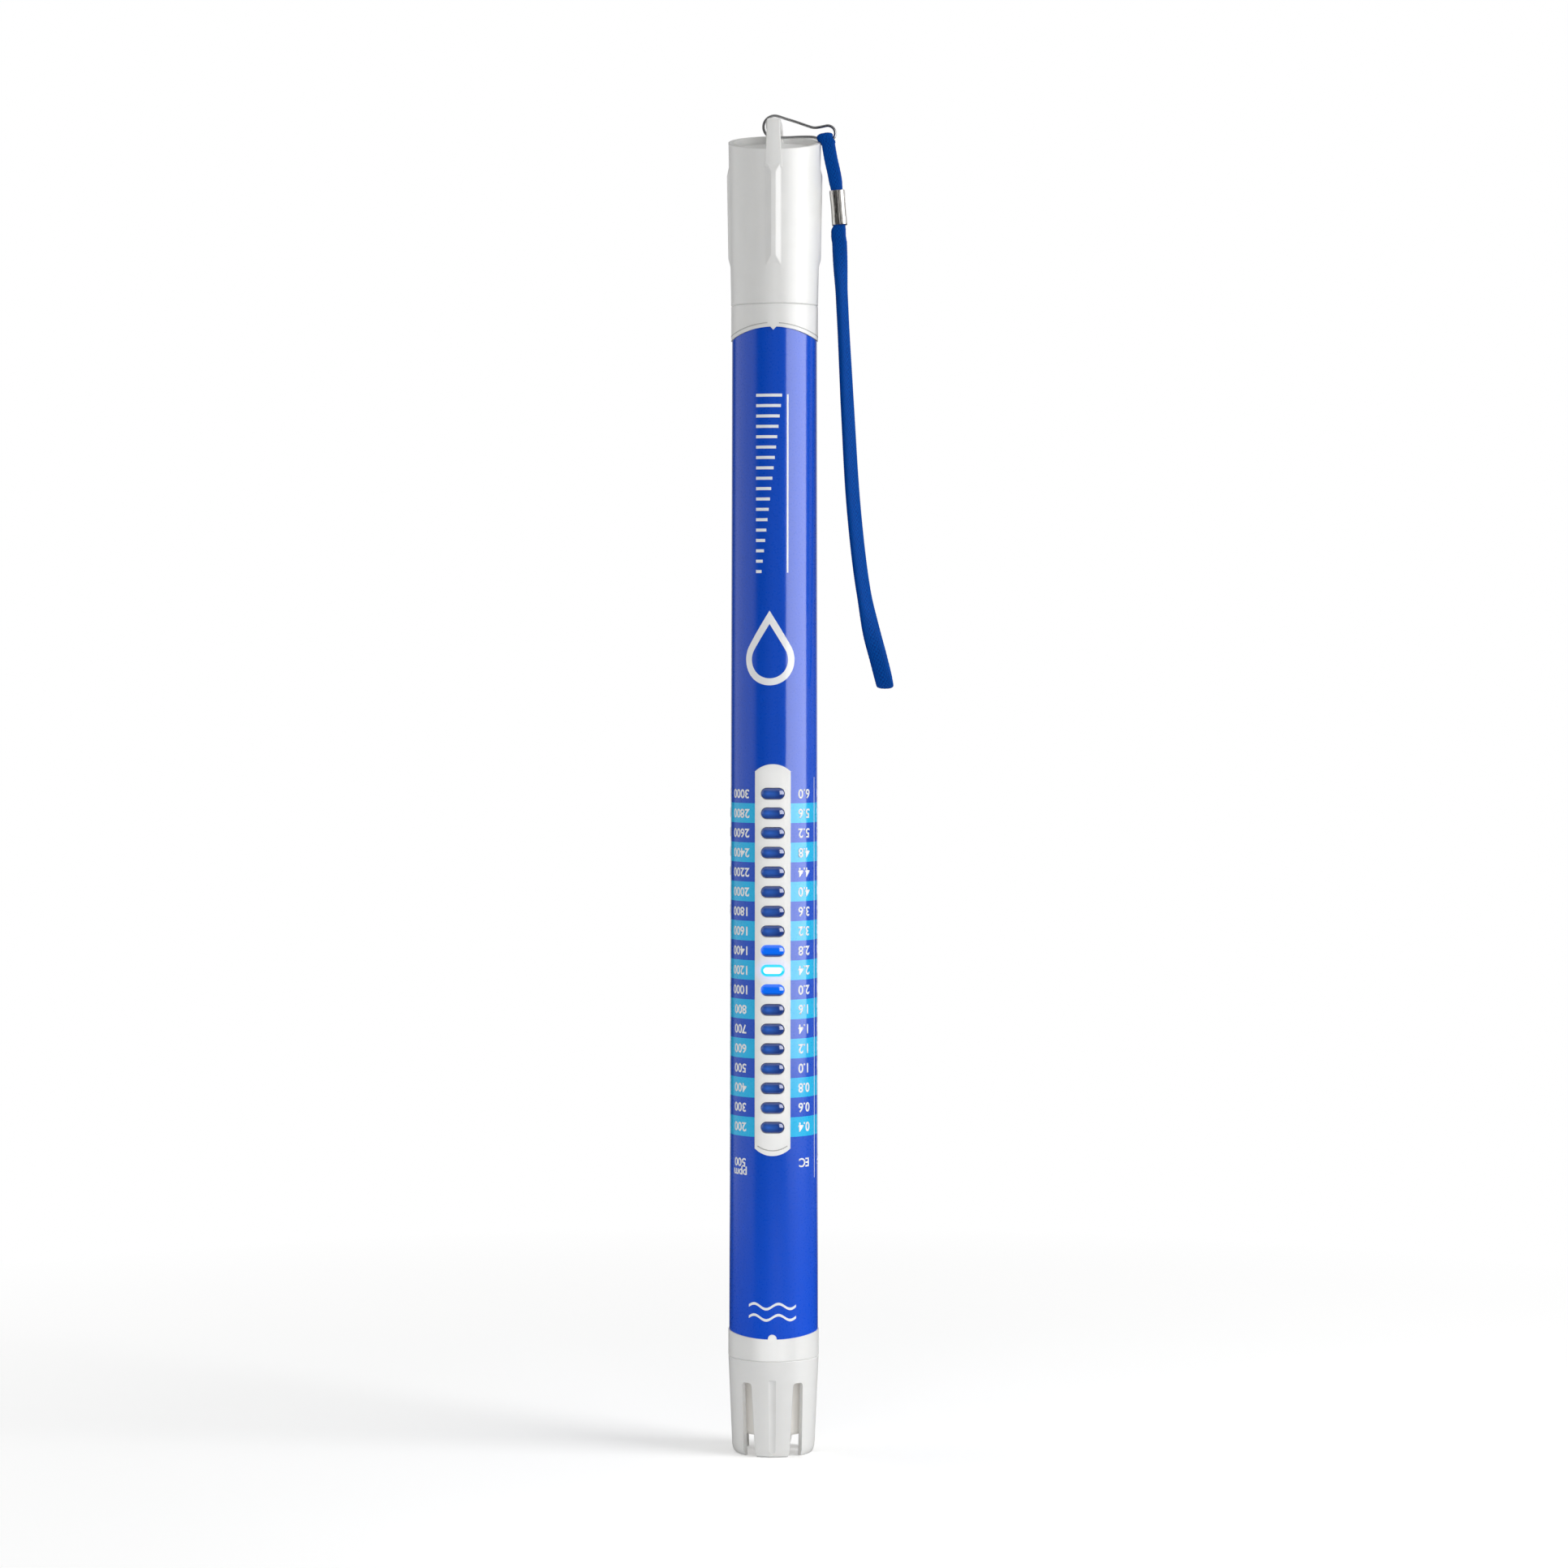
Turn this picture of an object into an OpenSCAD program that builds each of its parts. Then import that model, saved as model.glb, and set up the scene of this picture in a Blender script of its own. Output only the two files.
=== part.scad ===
// Hand-held nutrient strength meter: a long tube that stands on its probe shroud,
// with a row of lamps up the front and a battery cap, wire clip and wrist strap on top.
// Millimetres. Origin: centre of the foot, +Z up, lamps face -Y, strap hangs on +X.

/* [Tube] */
// Outer radius of the tube where it meets the shroud
tube_r_bottom = 13.82; // [13.75:0.01:13.95]
// Outer radius of the tube where it meets the cap
tube_r_top = 13.16; // [13.1:0.01:13.3]
// Inner radius of the tube
tube_bore_r = 11.6; // [11.55:0.01:11.65]
// Height of the seam between the shroud and the tube
shroud_seam_z = 29.4; // [29.2:0.1:29.6]
// Height of the seam between the tube and the cap
cap_seam_z = 348.6; // [348.4:0.1:348.8]

/* [Label] */
// Depth of the shallow pocket that takes the label
label_pocket = 0.77; // [0.7:0.01:0.8]
// Thickness of the label
label_t = 0.45; // [0.35:0.01:0.46]
// Height of the label's lower edge at the front
label_z0 = 36.1; // [35.5:0.1:37]
// Height of the label's upper edge at the front
label_z1 = 341.6; // [341:0.1:342]

/* [Lamps] */
// Number of lamps on the scale
lamp_count = 18; // [10:1:18]
// Height of the lowest lamp
lamp_z0 = 100.3; // [99.5:0.1:101]
// Distance from one lamp to the next
lamp_pitch = 5.93; // [5.8:0.01:5.95]
// Width of each lens
lens_w = 7.1; // [6.8:0.1:7.2]
// Height of each lens
lens_h = 3.5; // [3.2:0.1:3.6]
// Width of the white window around the lenses
window_w = 10.8; // [10.4:0.1:11]

/* [Shroud] */
// Outer radius of the shroud at its top
shroud_r_top = 13.75; // [13.7:0.01:13.85]
// Outer radius of the shroud at its foot, before the edge is rounded
shroud_r_foot = 12.55; // [12.5:0.01:12.7]
// Height of the top of the slots
slot_top = 22.5; // [21.5:0.1:22.8]
// Angle of the front slots, measured from the front
slot_angle = 34; // [33:0.5:35]

/* [Cap] */
// Outer radius of the cap at the seam
cap_r_seam = 13.2; // [13.15:0.01:13.3]
// Outer radius of the cap at its rim
cap_r_rim = 14.05; // [14:0.01:14.15]
// Height of the slanted rim on the axis
rim_z = 398.3; // [398:0.1:398.5]
// Slant of the rim, higher at the back
rim_tilt = 14.2; // [13.5:0.1:14.5]
// How far the grip ribs stand out
rib_out = 0.6; // [0.4:0.05:0.8]
// Height of the top of the hanger arch
arch_top = 405; // [404.8:0.1:405.2]
// Thickness of the hanger arch's bar
bar_h = 4.1; // [3.9:0.1:4.2]
// Width of the hanger arch's bar
bar_w = 4.4; // [4.2:0.1:4.5]

/* [Clip and strap] */
// Diameter of the clip's wire
wire_d = 1; // [0.9:0.05:1]
// Thickness of the crimped sleeve's wall
crimp_t = 0.35; // [0.3:0.05:0.4]
// Length of the crimped sleeve
crimp_len = 10.5; // [10:0.1:11]

/* [Inside] */
// Radius of the probe
probe_r = 10; // [9.8:0.05:10.1]
// Height of the probe's face above the foot
probe_z0 = 6; // [5.5:0.1:7]
// Width of the circuit board
pcb_w = 20; // [19:0.1:20]
// Thickness of the circuit board
pcb_t = 1.6; // [1:0.1:1.6]
// Diameter of each battery
battery_d = 10.5; // [10:0.1:10.5]
// Length of each battery with its button
battery_len = 44.5; // [44:0.1:44.6]

/* [Hidden] */
$fn = 96;
far = 20;
skin = 0.03;

// Tube
spigot_r = 12.1;
spigot_z0 = 23.2;
spigot_bore_r = 10.5;
shoulder_z = 33;
seam_chamfer = 0.25;
label_foot_r = 69.7;
label_crown_r = 25.8;
label_half_w = 13.5;
window_end_r = 7.7;
window_z0 = lamp_z0 - 8.6;
window_z1 = lamp_z0 + (lamp_count - 1) * lamp_pitch + 8.9;
carrier_y = [-10.1, -8.7];
carrier_w = 11;
carrier_end = 4.5;
lens_gap = 0.06;
lens_crown = 13.95;
lens_round_x = 7.8;
lens_round_z = 3;
rail_z = [60, 314];
rail_w = 2.4;
rail_t = 1.1;

// Circuit board
pcb_back_y = -3;
pcb_front_y = pcb_back_y - pcb_t;
pcb_z = [52, 318];
pcb_notch_r = 3;
led_size = [3.2, 1.1, 1.8];
baffle_w = 10.8;
baffle_end = 4;
cell_w = 7;
cell_h = 4.2;
chip_z = 232;
chip_w = 7;
chip_t = 1.2;
chip_pins = 8;
pin_w = 0.3;
pin_reach = 0.95;

// Shroud
shroud_bore_r = 12.3;
shroud_step_z = 22.9;
shroud_step_r = 11.9;
shroud_foot_r = 10.6;
foot_round = [1.3, 3.2];
slot_foot = [2.15, 2.3];
slot_head = [0.35, 1.1];
slot_round = 1;
side_slot_w = [3.4, 2.6];
flute_r = 1.93;
flute_depth = 0.42;

// Probe
flange_r = 11.4;
flange_z = [33.05, 36];
cup_r = 8;
cup_bore_r = 6.8;
cup_z = [14, 46];
electrode_r = 1.5;
electrode_x = 4.4;
electrode_top = 37;
thermistor_r = 1.1;
potting_z = [14.1, 35.5];
probe_ring_z = 28;
probe_ring_r = 0.85;
probe_groove = [1.25, 2.2];

// Batteries and their housing
battery_x = battery_d / 2 + 0.08;
bay_r = battery_d / 2 + 0.1;
battery_z0 = 333.6;
battery_z1 = battery_z0 + battery_len;
housing_z = [324, 376];
housing_plug_r = 11.5;
neck_r = 11.9;
bay_z0 = 329.5;
lead_hole = [2.8, 3.8];
contact_t = 0.4;
contact_r = 4.3;
contact_tail = [2, 0.4, 4.2];
contact_gap = 0.05;
coil_r = 2.8;
coil_wire = 0.6;
neck_ring_z = 356;
neck_ring_r = 0.48;
neck_groove = [0.8, 1.2];
key_slot = [3, 1.2, 10];
link_z = 381.1;
link_size = [18, 6];
link_dimple = [1.5, 2.8];

// Cap
cap_bore_r = 12.1;
dish_r = 12.6;
dish_depth = 2;
roof_t = 1.8;
link_rib = [17, 2];
rib_z = [360, 391];
rib_w = 4.6;
rib_crest_w = 1.4;
rib_end = 3;
arch_round = 1.2;
arch_sweep_r = 93;
arch_leg = 2.7;
arch_base_w = 5.2;

// Wire clip: centres and radii of its two round ends, in the X-Z plane
bar_z = arch_top - bar_h / 2;
clip_big_r = 3.4;
clip_small = [16, 401];
clip_small_r = 2.35;
// Side view of the clip's wire between the round ends, upper then lower strand
clip_upper = [[3.4, 405.4], [6.5, 404.45], [9.5, 403.4], [11.7, 402.75], [13.4, 402.85]];
clip_lower = [[13.2, 399.45], [11.4, 399.9], [8, 399.95], [4.6, 399.8]];

// Wrist strap: the route of the middle of the braid, one piece from end to end.
// It starts and ends inside the crimp and folds over the clip's wire on the way.
strap_route = [
    [19.3, 1.15, 378.8], [18.9, 1.15, 383.5], [18.1, 1.4, 388.5], [17.1, 1.65, 393],
    [16.3, 1.75, 397.5], [16, 1.35, 399.7], [16, 0.75, 400.2],
    [16, 0, 400.3],
    [16, -0.75, 400.2], [16, -1.35, 399.7], [16.3, -1.75, 397.5], [17.1, -1.65, 393],
    [18.1, -1.4, 388.5], [18.9, -1.15, 383.5], [19.3, -1.15, 378.4], [19.7, -1.15, 373.3],
    [19.8, -1.5, 369.5], [20.3, -2.6, 357], [21.2, -3.6, 338], [22.4, -4.2, 314],
    [23.8, -4.5, 290], [26.1, -4.6, 268], [28.9, -4.6, 252], [31.5, -4.4, 242],
    [32.9, -3.5, 236.6], [33.5, -1.8, 234.2],
    [33.7, 0, 233.7],
    [33.6, 1.8, 234.3], [33.1, 3.5, 236.8], [31.8, 4.4, 242], [29.3, 4.6, 252],
    [26.4, 4.6, 268], [24, 4.5, 290], [22.4, 4.2, 314], [21, 3.6, 338],
    [20, 2.6, 357], [19.5, 1.5, 369.5], [19.6, 1.15, 373.3], [19.5, 1.15, 377.8]
];
strap_w = 5.2;
strap_t = 2.2;
crimp_bore = [4, 4.7];
crimp_round = [1.5, 1.15];
crimp_top = [18.9, 383.7];
crimp_foot = [19.75, 373.2];

// ---- Shared shapes ----

// Radius of the tube's outer surface at height z
function tube_r(z) = tube_r_bottom
    + (tube_r_top - tube_r_bottom) * (z - shroud_seam_z) / (cap_seam_z - shroud_seam_z);

// Height of lamp i, counted from the lowest
function lamp_z(i) = lamp_z0 + i * lamp_pitch;

// Points of a circular arc, in n steps
function arc(centre, r, from, to, n) = [
    for (i = [0:n])
        let (a = from + (to - from) * i / n)
            [centre[0] + r * cos(a), centre[1] + r * sin(a)]
];

// Stands a flat outline up in the X-Z plane and gives it depth from y0 to y1
module along_y(y0, y1) {
    translate([0, y1, 0])
        rotate([90, 0, 0])
            linear_extrude(y1 - y0)
                children();
}

// A slot-shaped outline with round ends
module obround(w, h) {
    square([w - h, h], center = true);
    for (side = [-1, 1])
        translate([side * (w - h) / 2, 0])
            circle(d = h);
}

// A rectangle with round corners
module round_rect(w, h, r) {
    square([w - 2 * r, h], center = true);
    square([w, h - 2 * r], center = true);
    for (sx = [-1, 1], sy = [-1, 1])
        translate([sx * (w / 2 - r), sy * (h / 2 - r)])
            circle(r);
}

// The tube's tapered solid between two heights, pulled in by inset
module tube_solid(z0, z1, inset) {
    translate([0, 0, z0])
        cylinder(h = z1 - z0, r1 = tube_r(z0) - inset, r2 = tube_r(z1) - inset);
}

// A ring of round section
module o_ring(z, major, minor) {
    translate([0, 0, z])
        rotate_extrude()
            translate([major, 0])
                circle(minor, $fn = 32);
}

// Unit vector, and the direction of a route at point i
function unit(v) = v / norm(v);
function last(p) = len(p) - 1;
function heading(p, i, loop) = loop
    ? unit(p[(i + 1) % len(p)] - p[(i + last(p)) % len(p)])
    : unit(p[min(i + 1, last(p))] - p[max(i - 1, 0)]);

// Sweeps an oval section along a route. size[i] is the section's width and thickness
// at point i, and side[i] is roughly the direction of its width.
module sweep(route, size, side, loop = false, sides = 8) {
    n = len(route);
    points = [
        for (i = [0:n - 1], k = [0:sides - 1])
            let (
                t = heading(route, i, loop),
                v = unit(cross(t, side[i])),
                u = cross(v, t),
                a = 360 * (k + 0.5) / sides
            )
            route[i] + u * (cos(a) * size[i][0] / 2) + v * (sin(a) * size[i][1] / 2)
    ];
    rings = loop ? n : n - 1;
    walls = [
        for (i = [0:rings - 1], k = [0:sides - 1], half = [0, 1])
            let (a = i * sides, b = ((i + 1) % n) * sides, next = (k + 1) % sides)
                half == 0 ? [a + k, b + k, b + next] : [a + k, b + next, a + next]
    ];
    caps = loop ? [] : [
        [for (k = [0:sides - 1]) k],
        [for (k = [sides - 1:-1:0]) (n - 1) * sides + k]
    ];
    polyhedron(points, concat(walls, caps), convexity = 6);
}

// A round wire along a route of points
module wire(route, d, side = [1, 0, 0], sides = 8) {
    sweep(route, [for (p = route) [d, d]], [for (p = route) side], sides = sides);
}

// A compression spring standing on z0, as a swept helix
module spring(x, z0, z1, r, d, turns) {
    steps = 12;
    n = turns * steps;
    route = [
        for (i = [0:n])
            [x + r * cos(i * 360 / steps), r * sin(i * 360 / steps),
                z0 + d / 2 + (z1 - z0 - d) * i / n]
    ];
    sweep(route, [for (p = route) [d, d]], [for (p = route) [0, 0, 1]], sides = 6);
}

// ---- Tube, label and lamps ----

// Face-on outline of the label, with its two curved edges
module label_outline() {
    middle = [label_z0 + far, label_z1 - far];
    crown_drop = label_crown_r - sqrt(pow(label_crown_r, 2) - pow(label_half_w, 2));
    translate([-far, middle[0]])
        square([2 * far, label_z1 - crown_drop - middle[0]]);
    intersection() {
        translate([-far, label_z0])
            square([2 * far, far]);
        translate([0, label_z0 + label_foot_r])
            circle(label_foot_r, $fn = 240);
    }
    intersection() {
        translate([-far, middle[1]])
            square([2 * far, far]);
        translate([0, label_z1 - label_crown_r])
            circle(label_crown_r, $fn = 160);
    }
}

// Face-on outline of the white window around the lenses
module window_outline() {
    intersection() {
        translate([-window_w / 2, window_z0])
            square([window_w, window_z1 - window_z0]);
        union() {
            translate([-far, window_z0 + window_end_r])
                square([2 * far, window_z1 - window_z0 - 2 * window_end_r]);
            for (z = [window_z0 + window_end_r, window_z1 - window_end_r])
                translate([0, z])
                    circle(window_end_r);
        }
    }
}

// Small white locating marks that bite into the label's edges at the front
module label_marks() {
    translate([0, label_z0 + 0.2])
        circle(1.3, $fn = 32);
    polygon([[-1.4, label_z1 + 0.5], [0, label_z1 - 1], [1.4, label_z1 + 0.5]]);
}

// The label's space on the tube, between two depths below the surface
module label_space(depth, top) {
    difference() {
        intersection() {
            difference() {
                tube_solid(shroud_seam_z, cap_seam_z, top);
                tube_solid(shroud_seam_z - 1, cap_seam_z + 1, depth);
            }
            along_y(-far, far)
                label_outline();
        }
        along_y(-far, 0) {
            window_outline();
            label_marks();
        }
    }
}

// The outlines of all the lenses, grown by gap, from y0 to y1
module lens_outlines(gap, y0, y1) {
    along_y(y0, y1)
        for (i = [0:lamp_count - 1])
            translate([0, lamp_z(i)])
                obround(lens_w + 2 * gap, lens_h + 2 * gap);
}

module body_tube() {
    color("whitesmoke")
    difference() {
        union() {
            tube_solid(shroud_seam_z + seam_chamfer, cap_seam_z - seam_chamfer, 0);
            translate([0, 0, shroud_seam_z])
                cylinder(h = seam_chamfer, r1 = tube_r_bottom - seam_chamfer, r2 = tube_r_bottom);
            translate([0, 0, cap_seam_z - seam_chamfer])
                cylinder(h = seam_chamfer, r1 = tube_r_top, r2 = tube_r_top - seam_chamfer);
            translate([0, 0, spigot_z0])
                cylinder(h = shoulder_z - spigot_z0, r = spigot_r);
        }
        difference() {
            translate([0, 0, shoulder_z])
                cylinder(h = cap_seam_z - shoulder_z + 1, r = tube_bore_r);
            board_rails();
        }
        translate([0, 0, spigot_z0 - 1])
            cylinder(h = shoulder_z - spigot_z0 + 2, r = spigot_bore_r);
        label_space(label_pocket, -1);
        lens_outlines(lens_gap, -far, carrier_y[1]);
    }
}

// Two pairs of rails inside the tube that hold the board's edges
module board_rails() {
    for (side = [-1, 1], y = [pcb_back_y + skin, pcb_front_y - skin - rail_t])
        translate([side * (pcb_w / 2 + 0.4) - rail_w / 2, y, rail_z[0]])
            cube([rail_w, rail_t, rail_z[1] - rail_z[0]]);
}

module label_wrap() {
    color("royalblue")
        label_space(label_pocket - skin, label_pocket - skin - label_t);
}

// One clear strip: a carrier bar inside the tube with a domed lens for each lamp
module lens_strip() {
    z0 = lamp_z(0) - carrier_end;
    z1 = lamp_z(lamp_count - 1) + carrier_end;
    color("midnightblue")
    union() {
        translate([-carrier_w / 2, carrier_y[0], z0])
            cube([carrier_w, carrier_y[1] - carrier_y[0], z1 - z0]);
        intersection() {
            lens_outlines(0, -far, carrier_y[1] - 0.2);
            union() {
                for (i = [0:lamp_count - 1])
                    translate([0, 0, lamp_z(i)])
                        lens_dome();
            }
        }
    }
}

// The doubly curved front of one lens
module lens_dome() {
    intersection() {
        translate([0, -lens_crown + lens_round_x, 0])
            sphere(lens_round_x);
        translate([-far / 4, -lens_crown + lens_round_z, 0])
            rotate([0, 90, 0])
                cylinder(h = far / 2, r = lens_round_z);
    }
    translate([-far / 4, -lens_crown + lens_round_z, -2])
        cube([far / 2, 3, 4]);
}

module led_baffle() {
    z0 = lamp_z(0) - baffle_end;
    z1 = lamp_z(lamp_count - 1) + baffle_end;
    depth = pcb_front_y - carrier_y[1] - 2 * skin;
    color("dimgray")
    difference() {
        translate([-baffle_w / 2, carrier_y[1] + skin, z0])
            cube([baffle_w, depth, z1 - z0]);
        for (i = [0:lamp_count - 1])
            translate([-cell_w / 2, carrier_y[1] - 1, lamp_z(i) - cell_h / 2])
                cube([cell_w, depth + 2, cell_h]);
    }
}

module scale_leds() {
    color("gold")
        for (i = [0:lamp_count - 1])
            translate([-led_size[0] / 2, pcb_front_y - led_size[1], lamp_z(i) - led_size[2] / 2])
                cube(led_size);
}

// ---- Circuit board ----

module main_pcb() {
    color("seagreen")
    difference() {
        translate([-pcb_w / 2, pcb_front_y, pcb_z[0]])
            cube([pcb_w, pcb_t, pcb_z[1] - pcb_z[0]]);
        for (side = [-1, 1])
            translate([side * pcb_w / 2, pcb_front_y - 1, pcb_z[0]])
                rotate([-90, 0, 0])
                    cylinder(h = pcb_t + 2, r = pcb_notch_r);
    }
}

module microcontroller() {
    pitch = chip_w / (chip_pins + 1);
    middle = chip_w / 2 + pin_reach - 0.5;
    color("darkslategray")
        translate([-chip_w / 2, pcb_back_y + 0.15, chip_z - chip_w / 2])
            cube([chip_w, chip_t, chip_w]);
    color("silver")
        for (i = [1:chip_pins], side = [-1, 1]) {
            place = i * pitch - chip_w / 2 - pin_w / 2;
            translate([side * middle - 0.5, pcb_back_y, chip_z + place])
                cube([1, 0.5, pin_w]);
            translate([place, pcb_back_y, chip_z + side * middle - 0.5])
                cube([pin_w, 0.5, 1]);
        }
}

module crystal() {
    can_r = 0.9;
    color("silver")
        translate([0, pcb_back_y + can_r, chip_z + chip_w + 1])
            linear_extrude(6)
                circle(can_r, $fn = 32);
}

// Chip resistors beside the lamps, supply capacitors and the lead sockets
module board_components() {
    resistor = [2, 0.6, 1.2];
    chip_capacitor = [1.2, 0.8, 2];
    can_r = 2.5;
    socket = [10, 3, 6];
    color("tan") {
        for (i = [0:lamp_count - 1])
            translate([3, pcb_back_y, lamp_z(i) - resistor[2] / 2])
                cube(resistor);
        for (i = [0:4])
            translate([-6, pcb_back_y, chip_z - 18 - 4 * i])
                cube(chip_capacitor);
    }
    color("darkslateblue")
        for (z = [272, 284])
            translate([3, pcb_back_y + can_r + 0.1, z])
                cylinder(h = 7, r = can_r);
    color("ivory")
        for (z = [59, 305])
            translate([-socket[0] / 2, pcb_back_y, z])
                cube(socket);
}

// ---- Batteries ----

module battery_housing() {
    color("lightgray")
    difference() {
        union() {
            translate([0, 0, housing_z[0]])
                cylinder(h = cap_seam_z - housing_z[0] + 1, r = housing_plug_r);
            translate([0, 0, cap_seam_z + 0.02])
                cylinder(h = housing_z[1] - cap_seam_z - 0.02, r = neck_r);
        }
        for (side = [-1, 1]) {
            translate([side * battery_x, 0, bay_z0])
                cylinder(h = housing_z[1] - bay_z0 + 1, r = bay_r);
            translate([side * battery_x - lead_hole[0] / 2, -lead_hole[1] / 2, housing_z[0] - 1])
                cube([lead_hole[0], lead_hole[1], bay_z0 - housing_z[0] + 2]);
        }
        translate([0, 0, neck_ring_z - neck_groove[1] / 2])
            difference() {
                cylinder(h = neck_groove[1], r = neck_r + 1);
                translate([0, 0, -1])
                    cylinder(h = neck_groove[1] + 2, r = neck_r - neck_groove[0]);
            }
        translate([0, neck_r, (cap_seam_z + housing_z[1]) / 2])
            cube(key_slot, center = true);
    }
}

module neck_o_ring() {
    color("black")
        o_ring(neck_ring_z, neck_r - neck_groove[0] + neck_ring_r + 0.01, neck_ring_r);
}

// One battery, standing on z0 with its button up
module battery(shell) {
    button = [1.9, 1.1];
    foot_r = 3.2;
    lip = 0.3;
    r = battery_d / 2;
    body = battery_len - button[1];
    color(shell)
        rotate_extrude()
            polygon([
                [0, 0], [foot_r, 0], [foot_r, lip], [r - lip, lip], [r, 2 * lip],
                [r, body - lip], [r - lip, body], [button[0], body],
                [button[0], battery_len - lip], [button[0] - lip, battery_len], [0, battery_len]
            ]);
}

module battery_left() {
    translate([-battery_x, 0, battery_z0])
        battery("dimgray");
}

module battery_right() {
    translate([battery_x, 0, battery_z1])
        rotate([180, 0, 0])
            battery("dimgray");
}

// A contact plate on a bay's floor, with a tail through the floor to its lead
module contact_plate(x) {
    translate([x, 0, bay_z0 + 0.02])
        cylinder(h = contact_t, r = contact_r);
    translate([x - contact_tail[0] / 2, -contact_tail[1] / 2, bay_z0 + 0.2 - contact_tail[2]])
        cube(contact_tail);
}

module negative_contact() {
    color("silver")
    union() {
        contact_plate(-battery_x);
        spring(-battery_x, bay_z0 + contact_t - 0.1, battery_z0 - contact_gap, coil_r, coil_wire, 3);
    }
}

module positive_contact() {
    plate_top = bay_z0 + contact_t;
    color("silver")
    union() {
        contact_plate(battery_x);
        translate([battery_x, 0, plate_top])
            cylinder(h = battery_z0 - contact_gap - plate_top, r1 = 3, r2 = 1.5);
    }
}

// A lead from a contact's tail down to the board's upper socket
module battery_lead(side) {
    x = side * battery_x;
    wire([
        [x, 0.9, 325.6], [x, 1, 323.4], [side * 4.6, 1.2, 320.5], [side * 3.4, 1, 317.5],
        [side * 2.4, 0.2, 314.5], [side * 2, -1, 312.6], [side * 2, -1.4, 311.1]
    ], 1.2);
}

module battery_lead_red() {
    color("red")
        battery_lead(1);
}

module battery_lead_black() {
    color("black")
        battery_lead(-1);
}

// ---- Probe ----

module probe_body() {
    edge = 1.2;
    groove_r = probe_r - probe_groove[0];
    groove = [probe_ring_z - probe_groove[1] / 2, probe_ring_z + probe_groove[1] / 2];
    outline = concat(
        [[0, probe_z0]],
        arc([probe_r - edge, probe_z0 + edge], edge, -90, 0, 6),
        [
            [probe_r, groove[0]], [groove_r, groove[0]], [groove_r, groove[1]], [probe_r, groove[1]],
            [probe_r, flange_z[0]], [flange_r, flange_z[0]], [flange_r, flange_z[1]],
            [cup_r, flange_z[1]], [cup_r, cup_z[1]], [cup_bore_r, cup_z[1]],
            [cup_bore_r, cup_z[0]], [0, cup_z[0]]
        ]
    );
    color("beige")
    difference() {
        rotate_extrude()
            polygon(outline);
        for (side = [-1, 1])
            translate([side * electrode_x, 0, 0])
                cylinder(h = 20, r = electrode_r + skin);
        translate([0, 0, probe_z0 + 1.5])
            cylinder(h = 20, r = thermistor_r + skin);
    }
}

// One electrode: a rod with a slightly domed tip that stands just proud of the face
module electrode(side) {
    tip = probe_z0 - 0.4;
    color("gray")
        translate([side * electrode_x, 0, 0])
            rotate_extrude()
                polygon([
                    [0, tip], [electrode_r - 0.4, tip], [electrode_r, tip + 0.4],
                    [electrode_r, electrode_top - 2], [electrode_r - 0.7, electrode_top - 2],
                    [electrode_r - 0.7, electrode_top], [0, electrode_top]
                ]);
}

module electrode_left() {
    electrode(-1);
}

module electrode_right() {
    electrode(1);
}

module thermistor() {
    z0 = probe_z0 + 1.6;
    color("black")
    union() {
        translate([0, 0, z0 + thermistor_r])
            cylinder(h = electrode_top - z0 - thermistor_r, r = thermistor_r);
        translate([0, 0, z0 + thermistor_r])
            sphere(thermistor_r);
    }
}

module probe_o_ring() {
    color("black")
        o_ring(probe_ring_z, probe_r - probe_groove[0] + probe_ring_r + 0.01, probe_ring_r);
}

module probe_potting() {
    color("saddlebrown")
    difference() {
        translate([0, 0, potting_z[0]])
            cylinder(h = potting_z[1] - potting_z[0], r = cup_bore_r - skin);
        for (side = [-1, 1])
            translate([side * electrode_x, 0, 0])
                cylinder(h = 60, r = electrode_r + skin);
        cylinder(h = 60, r = thermistor_r + skin);
    }
}

// Four leads from the electrodes and thermistor up to the board's lower socket
module probe_wires() {
    color("orange")
        for (end = [[-electrode_x, -3], [-0.55, -1], [0.55, 1], [electrode_x, 3]])
            wire([
                [end[0], 0, electrode_top + 0.05], [end[0], 0, 41], [end[0] * 0.9, 0.2, 45],
                [end[1], 0.4, 50], [end[1], 0, 54.5], [end[1], -0.7, 57.2], [end[1], -1, 58.9]
            ], 0.9);
}

// ---- Shroud ----

// Outline of one slot, seen from outside: the edge nearer the front or back leans in
function slot_outline(lean) = concat(
    [[-lean * slot_foot[0], -1], [lean * slot_foot[1], -1]],
    arc([lean * slot_head[1], slot_top - slot_round], slot_round, lean > 0 ? 0 : 180, 90, 6),
    arc([-lean * slot_head[0], slot_top - slot_round], slot_round, 90, lean > 0 ? 180 : 0, 6)
);

// A shallow flute down the front or back of the shroud, parallel to its wall
module flute(side) {
    wall = shroud_r_foot + 0.13;
    lean = atan((shroud_r_top - wall) / shroud_seam_z);
    translate([0, side * (wall - flute_depth + flute_r), 0])
        rotate([-side * lean, 0, 0])
            translate([0, 0, -1])
                cylinder(h = slot_top + 2, r = flute_r);
}

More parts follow.
